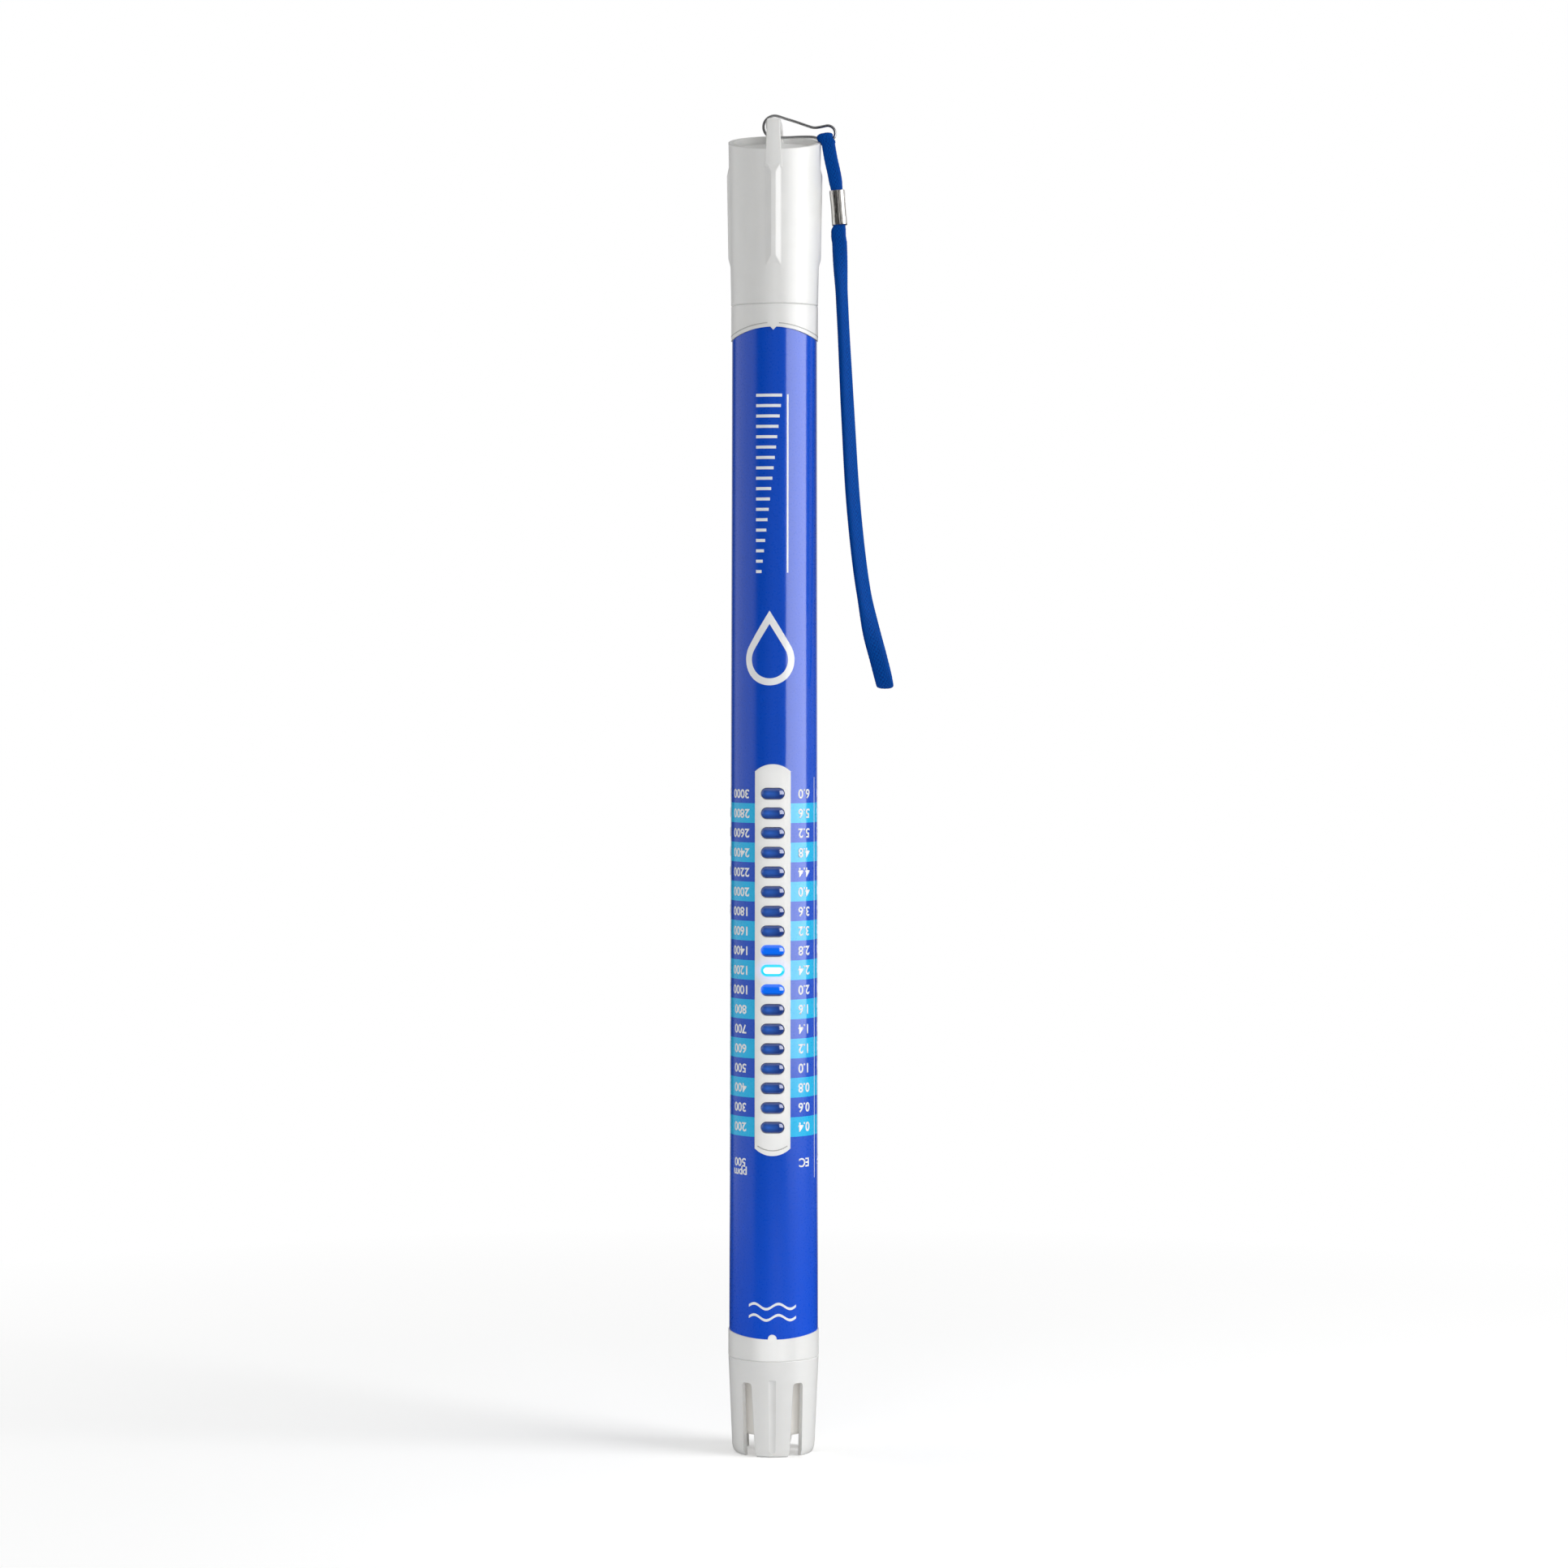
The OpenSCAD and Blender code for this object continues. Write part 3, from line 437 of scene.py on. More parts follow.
def battery_wrap(name):
    """Printed steel can: dark sleeve, plain pale band, bare metal ends."""
    dark, scuffed, pale, bare = (0.05, 0.055, 0.06), (0.09, 0.095, 0.1), (0.45, 0.5, 0.46), (0.7, 0.68, 0.64)
    s = Shader(name, dark, Metallic=0.35, Roughness=0.32, Coat_Weight=0.5)
    z = s.axes()[2]
    lo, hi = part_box("battery_left")
    up = s.math("DIVIDE", s.math("SUBTRACT", z, lo.z), hi.z - lo.z)
    band = s.times(s.math("GREATER_THAN", up, 0.62), s.math("LESS_THAN", up, 0.78))
    ends = s.math("ADD", s.math("LESS_THAN", up, 0.02), s.math("GREATER_THAN", up, 0.955))
    scuff = s.noise(500, 5)
    sleeve = s.mix(s.spread(scuff, 0.0, 1.0), dark, scuffed)
    s.link(s.mix(ends, s.mix(band, sleeve, pale), bare), "Base Color")
    s.link(s.spread(scuff, 0.26, 0.42), "Roughness")
    s.bump(scuff, 3e-6)
    return s.mat


def component_mix(name):
    """Small board parts: each takes its colour from where it sits on the board."""
    s = Shader(name, (0.3, 0.26, 0.2), Roughness=0.5)
    z = s.axes()[2]
    socket = s.math("ADD", s.math("LESS_THAN", z, 0.07), s.math("GREATER_THAN", z, 0.3))
    can = s.times(s.math("GREATER_THAN", z, 0.265), s.math("LESS_THAN", z, 0.295))
    grain = s.noise(1500, 3)
    chip = s.mix(s.spread(grain, 0.0, 1.0), (0.32, 0.25, 0.17), (0.2, 0.16, 0.12))
    s.link(s.mix(socket, s.mix(can, chip, (0.03, 0.04, 0.09)), (0.78, 0.75, 0.66)), "Base Color")
    s.bump(grain, 5e-6, soft_edge=0.0001)
    return s.mat


# Moulded and coated nodes: material, colour, darker mottle, roughness, grain scale and soft edge
SPECKLED = {
    "led_baffle": ("baffle_black", (0.02, 0.02, 0.022), (0.035, 0.035, 0.037), 0.6, 800, 0.0002),
    "scale_leds": ("lamp_package", (0.8, 0.76, 0.55), (0.7, 0.66, 0.45), 0.3, 1500, 0.0001),
    "microcontroller": ("chip_black", (0.02, 0.02, 0.02), (0.04, 0.04, 0.04), 0.5, 3000, 0.0001),
    "battery_housing": ("housing_grey", (0.55, 0.56, 0.57), (0.48, 0.49, 0.5), 0.42, 900, 0.0003),
    "probe_potting": ("potting_resin", (0.1, 0.05, 0.025), (0.06, 0.03, 0.015), 0.15, 300),
    "probe_wires": ("signal_wire", (0.7, 0.36, 0.06), (0.58, 0.28, 0.05), 0.4, 900),
    "battery_lead_red": ("lead_red", (0.5, 0.015, 0.015), (0.4, 0.01, 0.01), 0.4, 900),
    "battery_lead_black": ("lead_black", (0.02, 0.02, 0.02), (0.04, 0.04, 0.04), 0.4, 900),
    "neck_o_ring": ("seal_rubber", (0.018, 0.018, 0.018), (0.035, 0.035, 0.035), 0.65, 1200),
    "thermistor": ("thermistor_black", (0.02, 0.02, 0.02), (0.045, 0.045, 0.045), 0.4, 900),
}


def finish_cad_nodes():
    """Gives every CAD node that stays in view its procedural material."""
    finishes = {node: speckled(*look).mat for node, look in SPECKLED.items()}
    finishes["body_tube"] = white_plastic("white_shell_lit", glow=True)
    finishes["shroud"] = white_plastic("white_shell")
    finishes["battery_cap"] = white_plastic("white_cap", edge=0.0006)
    finishes["main_pcb"] = circuit_board("circuit_board")
    finishes["board_components"] = component_mix("component_mix")
    finishes["battery_left"] = finishes["battery_right"] = battery_wrap("battery_wrap")
    finishes["probe_o_ring"] = finishes["neck_o_ring"]
    probe = speckled("probe_plastic", (0.8, 0.78, 0.74), (0.74, 0.72, 0.68), 0.5, 700, 0.0003, 1e-5,
                     Emission_Color=(1.0, 0.97, 0.93, 1.0), Emission_Strength=PROBE_GLOW)
    finishes["probe_body"] = probe.mat
    rod = metal("electrode_metal", (0.36, 0.36, 0.38), (0.25, 0.25, 0.26), 0.35, edge=0.0002)
    finishes["electrode_left"] = finishes["electrode_right"] = rod
    nickel = metal("contact_metal", (0.72, 0.7, 0.66), (0.6, 0.58, 0.55), 0.28)
    for node in ("crystal", "negative_contact", "positive_contact", "cap_link_plate", "cap_spring"):
        finishes[node] = nickel
    for node, finish in finishes.items():
        nodes[node].data.materials.clear()
        nodes[node].data.materials.append(finish)


# ---- Label ----

LABEL_FOOT_R = 0.0697
LABEL_CROWN_R = 0.0258
LABEL_HALF_W = 0.0135
LABEL_SKIN = 0.0004
WINDOW_HALF_W = 0.0054
WINDOW_END_R = 0.0077
WINDOW_BELOW = 0.0086
WINDOW_ABOVE = 0.0089
# The half-round mark at the label's foot and the V mark at its crown
FOOT_MARK_R = 0.0013
FOOT_MARK_UP = 0.0002
CROWN_MARK_DEPTH = 0.001
CROWN_MARK_SLOPE = 1.07
# The height whose radius turns the label's face-on edges into angles
LABEL_MIDDLE = 0.2
window_end = WINDOW_END_R - math.sqrt(WINDOW_END_R ** 2 - WINDOW_HALF_W ** 2)
window_z = (lamp_z(0) - WINDOW_BELOW, lamp_z(LAMPS - 1) + WINDOW_ABOVE)


def arc_drop(r, x):
    """How far an edge of radius r has curved away at x."""
    return r - math.sqrt(r * r - min(abs(x), LABEL_HALF_W) ** 2)


def label_foot(x, front):
    """Lower edge of the label at x, with the half-round mark at the front."""
    z = label_lo.z + arc_drop(LABEL_FOOT_R, x)
    if front and abs(x) < FOOT_MARK_R:
        z = max(z, label_lo.z + FOOT_MARK_UP + math.sqrt(FOOT_MARK_R ** 2 - x * x))
    return z


def label_crown(x, front):
    """Upper edge of the label at x, with the V mark at the front."""
    z = label_hi.z - arc_drop(LABEL_CROWN_R, x)
    if front:
        z = min(z, label_hi.z - CROWN_MARK_DEPTH + abs(x) * CROWN_MARK_SLOPE)
    return z


def label_columns():
    """Angles round the label, finer at the front marks and exact at the window's edges."""
    edge = math.asin(WINDOW_HALF_W / label_r(sum(window_z) / 2))
    # Half-degree columns across the marks, then columns that close in on the window's edges
    fine = [math.radians(a * 0.5) for a in range(-13, 14)]
    near = [edge * (1 - 0.12 * s) * side for s in range(0, 6) for side in (-1, 1)]
    near = [a for a in near if abs(a) > math.radians(6.6)]
    steps = 60
    around = [edge + (2 * math.pi - 2 * edge) * i / steps for i in range(1, steps)]
    return sorted(fine + near) + around, edge


def label_piece():
    """The printed film: one sheet round the tube with a window for the lamps."""
    angles, edge = label_columns()
    low, high = window_z[0] + window_end, window_z[1] - window_end
    verts, faces = [], []

    def surface(columns, bottom, top, rows, closed):
        base = len(verts)
        for a in columns:
            x = label_r(LABEL_MIDDLE) * math.sin(a)
            front = math.cos(a) > 0
            z0, z1 = bottom(x, front), top(x, front)
            for k in range(rows + 1):
                z = z0 + (z1 - z0) * k / rows
                r = label_r(z)
                verts.append((r * math.sin(a), -r * math.cos(a), z))
        count = len(columns)
        for c in range(count if closed else count - 1):
            for k in range(rows):
                p, q = base + c * (rows + 1) + k, base + ((c + 1) % count) * (rows + 1) + k
                faces.append((p, q, q + 1, p + 1))

    def window_foot(x, front):
        if front and abs(x) < WINDOW_HALF_W:
            return window_z[0] + WINDOW_END_R - math.sqrt(WINDOW_END_R ** 2 - x * x)
        return low

    def window_crown(x, front):
        if front and abs(x) < WINDOW_HALF_W:
            return window_z[1] - WINDOW_END_R + math.sqrt(WINDOW_END_R ** 2 - x * x)
        return high

    surface(angles, label_foot, window_foot, 12, True)
    surface(angles, window_crown, label_crown, 28, True)
    beside = [a for a in angles if a >= edge - 1e-9]
    beside.append(2 * math.pi - edge)
    surface(beside, lambda x, front: low, lambda x, front: high, 24, False)
    obj = weld(new_object("label_film", verts, faces), 2e-6)
    thick = obj.modifiers.new("thickness", "SOLIDIFY")
    thick.thickness = LABEL_SKIN
    thick.offset = -1
    thick.use_even_offset = True
    sharp_edges(obj)
    obj.data.materials.append(label_film("label_film"))
    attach(obj, "wand")
    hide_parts("label_wrap")


# ---- Fine lines moulded in the tube, drawn grey as painted shade ----

LABEL_SINK = 0.00029
TRIM_HALF_W = 0.00016
TRIM_OUT = 0.00004
TRIM_SECTION = ((-1, -1.5), (-1, 0), (-0.5, 0.85), (0, 1), (0.5, 0.85), (1, 0), (1, -1.5))
# The lip's line starts beside the V mark and runs just above the label
LIP_GAP = 0.0012
LIP_START = 0.0017
LIP_STEPS = 180
SILL_HALF_W = 0.0044
SILL_UP = 0.0016
SILL_STEPS = 24


def painted_shade_line(name, line):
    """A fine moulded step as a thin raised line in grey, painted shade. line holds (angle, height) pairs."""
    rings = []
    for i, (a, z) in enumerate(line):
        b, w = line[min(i + 1, len(line) - 1)], line[max(i - 1, 0)]
        slope = math.atan2(b[1] - w[1], (b[0] - w[0]) * label_r(z))
        r = label_r(z) + LABEL_SINK
        ring = []
        for across, out in TRIM_SECTION:
            side = across * TRIM_HALF_W
            angle = a - side * math.sin(slope) / r
            far = r + out * TRIM_OUT
            ring.append(Vector((far * math.sin(angle), -far * math.cos(angle), z + side * math.cos(slope))))
        rings.append(ring)
    obj = weld(new_object(name, *loft(rings, cap=True)), 1e-8)
    # Grey painted shade: the plastic round the step is white
    obj.data.materials.append(speckled(name, (0.5, 0.5, 0.49), (0.46, 0.46, 0.45), 0.5, 2500).mat)
    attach(obj, "wand")


def tube_trim():
    """The lip that follows the label's upper edge, and the arc in the window's lower end, as lines of
    painted shade.
    """
    start = math.asin(LIP_START / label_r_hi)
    lip = []
    for i in range(LIP_STEPS + 1):
        a = start + (2 * math.pi - 2 * start) * i / LIP_STEPS
        x = label_r_hi * math.sin(a)
        lip.append((a, label_hi.z + LIP_GAP - arc_drop(LABEL_CROWN_R, x)))
    painted_shade_line("label_lip_shade", lip)
    sill = []
    for i in range(SILL_STEPS + 1):
        x = SILL_HALF_W * (2 * i / SILL_STEPS - 1)
        z = window_z[0] + SILL_UP + WINDOW_END_R - math.sqrt(WINDOW_END_R ** 2 - x * x)
        sill.append((math.asin(x / label_r(z)), z))
    painted_shade_line("window_sill_shade", sill)


# ---- Printed marks: numbers and plain signs in white ink ----

INK_T = 0.00003
NUMBER_SIZE = 0.0038
NUMBER_BOLD = 0.022
# Degrees round from the front of each column's middle, and of the lines between columns
COLUMNS = {"right": 45.5, "left": -48.5, "far_right": 91, "far_left": -97}
DIVIDERS = (68.5, 113.5, -79.5, -114.5)
# How far the lines between columns run past the first and the last lamp
DIVIDER_BELOW = 0.016
DIVIDER_ABOVE = 0.0048
DIVIDER_HALF_W = 0.00013
# The units under each column: size against the numbers, drop below the first lamp, line spacing
UNIT_SIZE = 0.95
UNIT_DROP = 0.0108
UNIT_LINE = 0.0033
# The longest edge that stays flat when a print is bent round the tube
PRINT_EDGE = 0.0009
# Plain signs: heights of their middles, and their sizes
DROP_Z = 0.2415
DROP_ANGLE = math.radians(-4.5)
DROP_SIZE = (0.0155, 0.0225)
DROP_LINE = 0.0021
WAVES_Z = 0.0448
WAVE_UPS = (0.0013, -0.0021)
WAVE_W = 0.015
WAVE_PERIODS = 2
WAVE_SWING = 0.0008
WAVE_HALF_T = 0.0004
BARS_Z = 0.2945
BAR_COUNT = 18
BAR_HALF_SPAN = 0.0265
BAR_HALF_T = 0.00045
BAR_LEFT = -0.0053
BAR_REACH = (0.0018, 0.008)
RULE_X = (0.0042, 0.0047)
RULE_HALF = 0.0268


def strength(i):
    """The conductivity that lamp i stands for, in mS/cm."""
    return 0.4 + 0.2 * i if i <= 6 else 1.6 + 0.4 * (i - 6)


def flat_text(text, size):
    """A text's flat mesh, centred on the origin."""
    curve = bpy.data.curves.new("text", "FONT")
    curve.body = text
    curve.size = size
    curve.offset = size * NUMBER_BOLD
    curve.align_x = "CENTER"
    curve.align_y = "CENTER"
    curve.resolution_u = 5
    holder = bpy.data.objects.new("text", curve)
    scene.collection.objects.link(holder)
    bpy.context.view_layer.update()
    mesh = bpy.data.meshes.new_from_object(holder.evaluated_get(bpy.context.evaluated_depsgraph_get()))
    bpy.data.objects.remove(holder)
    return mesh


def wrap_print(name, prints):
    """Joins flat meshes on the label as thin raised ink.

    prints holds (mesh, angle, height, turned). A turned print is upside down.
    """
    bm = bmesh.new()
    for mesh, angle, height, turned in prints:
        sign = -1 if turned else 1
        part = bmesh.new()
        part.from_mesh(mesh)
        bmesh.ops.triangulate(part, faces=part.faces)
        for _ in range(3):
            long_edges = [e for e in part.edges if e.calc_length() > PRINT_EDGE]
            if long_edges:
                bmesh.ops.subdivide_edges(part, edges=long_edges, cuts=1)
                bmesh.ops.triangulate(part, faces=[f for f in part.faces if len(f.verts) > 3])
        bmesh.ops.remove_doubles(part, verts=part.verts, dist=1e-6)
        for v in part.verts:
            across, up = sign * v.co.x, sign * v.co.y
            v.co = on_cylinder(across, height + up, INK_T, angle)
        made = bpy.data.meshes.new("wrapped")
        part.to_mesh(made)
        part.free()
        bm.from_mesh(made)
        bpy.data.meshes.remove(made)
    bmesh.ops.recalc_face_normals(bm, faces=bm.faces)
    outward = sum(f.normal.dot(Vector((f.calc_center_median().x, f.calc_center_median().y, 0)))
                  for f in bm.faces)
    if outward < 0:
        bmesh.ops.reverse_faces(bm, faces=bm.faces)
    mesh = bpy.data.meshes.new(name)
    bm.to_mesh(mesh)
    bm.free()
    obj = bpy.data.objects.new(name, mesh)
    scene.collection.objects.link(obj)
    thick = obj.modifiers.new("thickness", "SOLIDIFY")
    thick.thickness = 3 * INK_T
    thick.offset = -1
    mesh.materials.append(INK)
    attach(obj, "wand")


def scale_numbers():
    """Four columns of numbers, printed so that they read with the probe up."""
    columns = {
        "right": (lambda ec: f"{ec:.1f}", 1.03, ["EC"]),
        "left": (lambda ec: f"{ec * 500:.0f}", 0.98, ["500", "ppm"]),
        "far_right": (lambda ec: f"{ec * 10:.0f}", 1.03, ["CF"]),
        "far_left": (lambda ec: f"{ec * 700:.0f}", 0.98, ["700", "ppm"]),
    }
    for name, (label, scale, units) in columns.items():
        angle = math.radians(COLUMNS[name])
        size = NUMBER_SIZE * scale
        prints = [(flat_text(label(strength(i)), size), angle, lamp_z(i), True) for i in range(LAMPS)]
        prints += [(flat_text(text, size * UNIT_SIZE), angle, lamp_z0 - UNIT_DROP - UNIT_LINE * row, True)
                   for row, text in enumerate(units)]
        wrap_print("numbers_" + name, prints)


def flat_mesh(outlines):
    """A flat mesh of closed outlines; each is a list of (x, y), with an optional inner outline."""
    bm = bmesh.new()
    for outer, inner in outlines:
        if inner is None:
            bm.faces.new([bm.verts.new((x, y, 0)) for x, y in outer])
            continue
        a = [bm.verts.new((x, y, 0)) for x, y in outer]
        b = [bm.verts.new((x, y, 0)) for x, y in inner]
        n = len(a)
        for i in range(n):
            bm.faces.new([a[i], a[(i + 1) % n], b[(i + 1) % n], b[i]])
    mesh = bpy.data.meshes.new("flat")
    bm.to_mesh(mesh)
    bm.free()
    return mesh


def bar(x0, x1, y0, y1, pieces=8):
    """Outlines of a rectangle cut into short pieces, so that it bends round the tube."""
    cuts = [x0 + (x1 - x0) * i / pieces for i in range(pieces + 1)]
    return [([(a, y0), (b, y0), (b, y1), (a, y1)], None) for a, b in zip(cuts, cuts[1:])]


def drop_outline(inset, n=64, side=10):
    """Points of a plain water drop that stands on its round end, pulled in by inset."""
    width, height = DROP_SIZE
    r = width / 2
    tip = height - r
    touch = math.acos(r / tip)
    reach = r - inset
    round_end = [touch + (2 * math.pi - 2 * touch) * i / n for i in range(n + 1)]
    points = [(reach * math.sin(t), reach * math.cos(t)) for t in round_end]
    top = (0.0, tip - inset / math.cos(touch))
    left = [(points[-1][0] * (1 - i / side) + top[0] * i / side,
             points[-1][1] * (1 - i / side) + top[1] * i / side) for i in range(1, side)]
    right = [(-x, y) for x, y in reversed(left)]
    return points + left + [top] + right


def wave_outline(y, n=72):
    """A plain wavy line."""
    def at(s):
        return y + WAVE_SWING * math.sin(s * WAVE_PERIODS * 2 * math.pi)

    strips = []
    for i in range(n):
        a, b = i / n, (i + 1) / n
        xa, xb = (a - 0.5) * WAVE_W, (b - 0.5) * WAVE_W
        strips.append(([(xa, at(a) - WAVE_HALF_T), (xb, at(b) - WAVE_HALF_T),
                        (xb, at(b) + WAVE_HALF_T), (xa, at(a) + WAVE_HALF_T)], None))
    return strips


def plain_signs():
    """Generic signs: a drop, waves, and a wedge of bars that grow with strength."""
    drop = flat_mesh([(drop_outline(0.0), drop_outline(DROP_LINE))])
    wrap_print("drop_sign", [(drop, DROP_ANGLE, DROP_Z, False)])
    waves = flat_mesh([strip for up in WAVE_UPS for strip in wave_outline(up)])
    wrap_print("wave_sign", [(waves, 0.0, WAVES_Z, False)])
    bars = []
    for i in range(BAR_COUNT):
        share = i / (BAR_COUNT - 1)
        y = BAR_HALF_SPAN * (2 * share - 1)
        reach = BAR_REACH[0] + (BAR_REACH[1] - BAR_REACH[0]) * share
        bars += bar(BAR_LEFT, BAR_LEFT + reach, y - BAR_HALF_T, y + BAR_HALF_T)
    bars += bar(*RULE_X, -RULE_HALF, RULE_HALF, 1)
    wrap_print("strength_bars", [(flat_mesh(bars), 0.0, BARS_Z, False)])
    low, high = lamp_z(0) - DIVIDER_BELOW, lamp_z(LAMPS - 1) + DIVIDER_ABOVE
    middle, half = (low + high) / 2, (high - low) / 2
    lines = flat_mesh(bar(-DIVIDER_HALF_W, DIVIDER_HALF_W, -half, half, 1))
    wrap_print("divider_lines", [(lines, math.radians(a), middle, False) for a in DIVIDERS])


# ---- Lenses ----

LENS_HALF = (0.00355, 0.00175)
LENS_ROUND = (0.0070, 0.003)
LENS_STEPS = 56
LENS_BAR_FRONT = -0.0101
LENS_SIDE_DEPTH = 0.0007
# The dome's rings, pulled in from the outline; its rim is sunk over the first of them
LENS_RINGS = (0.0, 0.00005, 0.00015, 0.0003, 0.0005, 0.0008, 0.0011, 0.0014, 0.00172)
LENS_RIM_W = 0.0004
LENS_RIM_SINK = 0.0003


def lens_outline(shrink):
    """Points of a lens's slot-shaped outline, pulled in by shrink."""
    r = LENS_HALF[1] - shrink
    straight = LENS_HALF[0] - LENS_HALF[1]
    points = []
    for i in range(LENS_STEPS):
        a = 2 * math.pi * (i + 0.5) / LENS_STEPS
        x = straight if math.cos(a) > 0 else -straight
        points.append((x + r * math.cos(a), r * math.sin(a)))
    return points


def lens_strip_piece():
    """The clear strip: carrier bar with one domed lens for each lamp."""
    lo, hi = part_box("lens_strip")
    crown, back = lo.y, hi.y
    verts, faces = [], []

    def add(ring_verts, ring_faces):
        base = len(verts)
        verts.extend(ring_verts)
        faces.extend(tuple(base + i for i in f) for f in ring_faces)

    def dome(x, z):
        along = LENS_ROUND[0] - math.sqrt(LENS_ROUND[0] ** 2 - x * x)
        across = LENS_ROUND[1] - math.sqrt(LENS_ROUND[1] ** 2 - z * z)
        return crown + along + across

    for i in range(LAMPS):
        z0 = lamp_z(i)
        edge_y = max(dome(x, z) for x, z in lens_outline(0)) + LENS_SIDE_DEPTH
        rings = [[Vector((x, y, z0 + z)) for x, z in lens_outline(0)] for y in (LENS_BAR_FRONT, edge_y)]
        for shrink in LENS_RINGS:
            sink = LENS_RIM_SINK * (1 - min(1, shrink / LENS_RIM_W)) ** 2
            rings.append([Vector((x, dome(x, z) + sink, z0 + z)) for x, z in lens_outline(shrink)])
        add(*loft(rings))
        last = len(verts) - LENS_STEPS
        faces.append(tuple(last + j for j in range(LENS_STEPS)))
    box = bmesh.new()
    size = Vector((hi.x - lo.x, back - LENS_BAR_FRONT, hi.z - lo.z))
    middle = Vector(((lo.x + hi.x) / 2, (back + LENS_BAR_FRONT) / 2, (lo.z + hi.z) / 2))
    bmesh.ops.create_cube(box, size=1, matrix=Matrix.Translation(middle) @ Matrix.Diagonal((*size, 1)))
    bmesh.ops.bevel(box, geom=box.edges[:], offset=0.0002, segments=2, affect="EDGES")
    add([v.co.copy() for v in box.verts], [tuple(v.index for v in f.verts) for f in box.faces])
    box.free()
    obj = weld(new_object("lens_strip_clear", verts, faces), 1e-7)
    obj.data.materials.append(lens_tint("lens_tint"))
    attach(obj, "wand")
    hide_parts("lens_strip")


# ---- Wire clip ----

WIRE_R = 0.00042
# The wire's side view, as (x, z) in mm: a big end round the arch's bar, a small end for the strap
BAR_CENTRE = (0.0, 402.95)
BIG_R = 3.4
SMALL_CENTRE = (16, 401)
SMALL_R = 2.35
CLIP_UPPER = [(3.4, 405.4), (6.5, 404.45), (9.5, 403.4), (11.7, 402.75), (13.4, 402.85)]
CLIP_LOWER = [(13.2, 399.45), (11.4, 399.9), (8, 399.95), (4.6, 399.8)]


def arc_points(centre, r, start, end, steps):
    """Points of an arc between two angles in degrees."""
    return [(centre[0] + r * math.cos(math.radians(start + (end - start) * i / steps)),
             centre[1] + r * math.sin(math.radians(start + (end - start) * i / steps)))
            for i in range(steps + 1)]


def clip_piece():
    """The gourd-shaped wire, round all the way."""
    side_view = (arc_points(BAR_CENTRE, BIG_R, 70, 290, 11) + CLIP_LOWER[::-1]
                 + arc_points(SMALL_CENTRE, SMALL_R, -120, 110, 11) + CLIP_UPPER[::-1])
    path = smooth_path([(x * MM, 0, z * MM) for x, z in side_view], 0.0003, closed=True)
    n, sides = len(path), 16
    rings = []
    for i, p in enumerate(path):
        along = (path[(i + 1) % n] - path[i - 1]).normalized()
        out = Vector((0, 1, 0)).cross(along).normalized()
        rings.append([p + (out * math.cos(a) + Vector((0, 1, 0)) * math.sin(a)) * WIRE_R
                      for a in (2 * math.pi * j / sides for j in range(sides))])
    obj = weld(new_object("clip_wire", *loft(rings, close_v=True)))
    obj.data.materials.append(metal("clip_steel", (0.5, 0.5, 0.51), (0.36, 0.36, 0.37), 0.32, (1, 1, 1)))
    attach(obj, "clip")
    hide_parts("wire_clip")
    return obj


# ---- Strap crimp ----

# Middles of the sleeve's two ends, as (x, z) in mm
CRIMP_FOOT = (19.75, 373.2)
CRIMP_TOP = (18.9, 383.7)
CRIMP_LEN = 0.0105
CRIMP_BORE = (0.004, 0.0047)
CRIMP_WALL = 0.00035
CRIMP_SEAM = 0.0004
CRIMP_GROOVE = (0.0003, 0.00026)
CRIMP_SQUARE = 0.66
CRIMP_SIDES = 72
# How far the sleeve is pulled in at each height: eased ends and a pressed middle
CRIMP_PULL = (
    (0.0, 0.00016), (0.00012, 0.00003), (0.0005, 0.0), (0.0012, 0.0), (0.0035, 0.00008),
    (0.00525, 0.00012), (0.007, 0.00008), (0.0093, 0.0), (0.01, 0.0), (0.01038, 0.00003),
    (0.0105, 0.00016),
)


def crimp_section(half):
    """Outline of the sleeve seen end on: crowned faces, with the seam's groove in front."""
    groove_w, groove_d = CRIMP_GROOVE
    points = []
    for i in range(CRIMP_SIDES):
        a = 2 * math.pi * (i + 0.5) / CRIMP_SIDES
        c, d = math.cos(a), math.sin(a)
        x, y = (math.copysign(abs(v) ** CRIMP_SQUARE, v) for v in (c, d))
        points.append((half[0] * x, half[1] * y))
    front = sorted(p for p in points if p[1] < -half[1] * 0.6)
    lip = [p for p in front if abs(p[0] - CRIMP_SEAM) > groove_w]
    left = [p for p in lip if p[0] < CRIMP_SEAM]
    right = [p for p in lip if p[0] > CRIMP_SEAM]
    depth = (left[-1][1] + right[0][1]) / 2
    groove = [(CRIMP_SEAM - groove_w, depth), (CRIMP_SEAM - groove_w * 0.35, depth + groove_d),
              (CRIMP_SEAM + groove_w * 0.35, depth + groove_d), (CRIMP_SEAM + groove_w, depth)]
    rest = [p for p in points if p not in front]
    return rest + left + groove + right


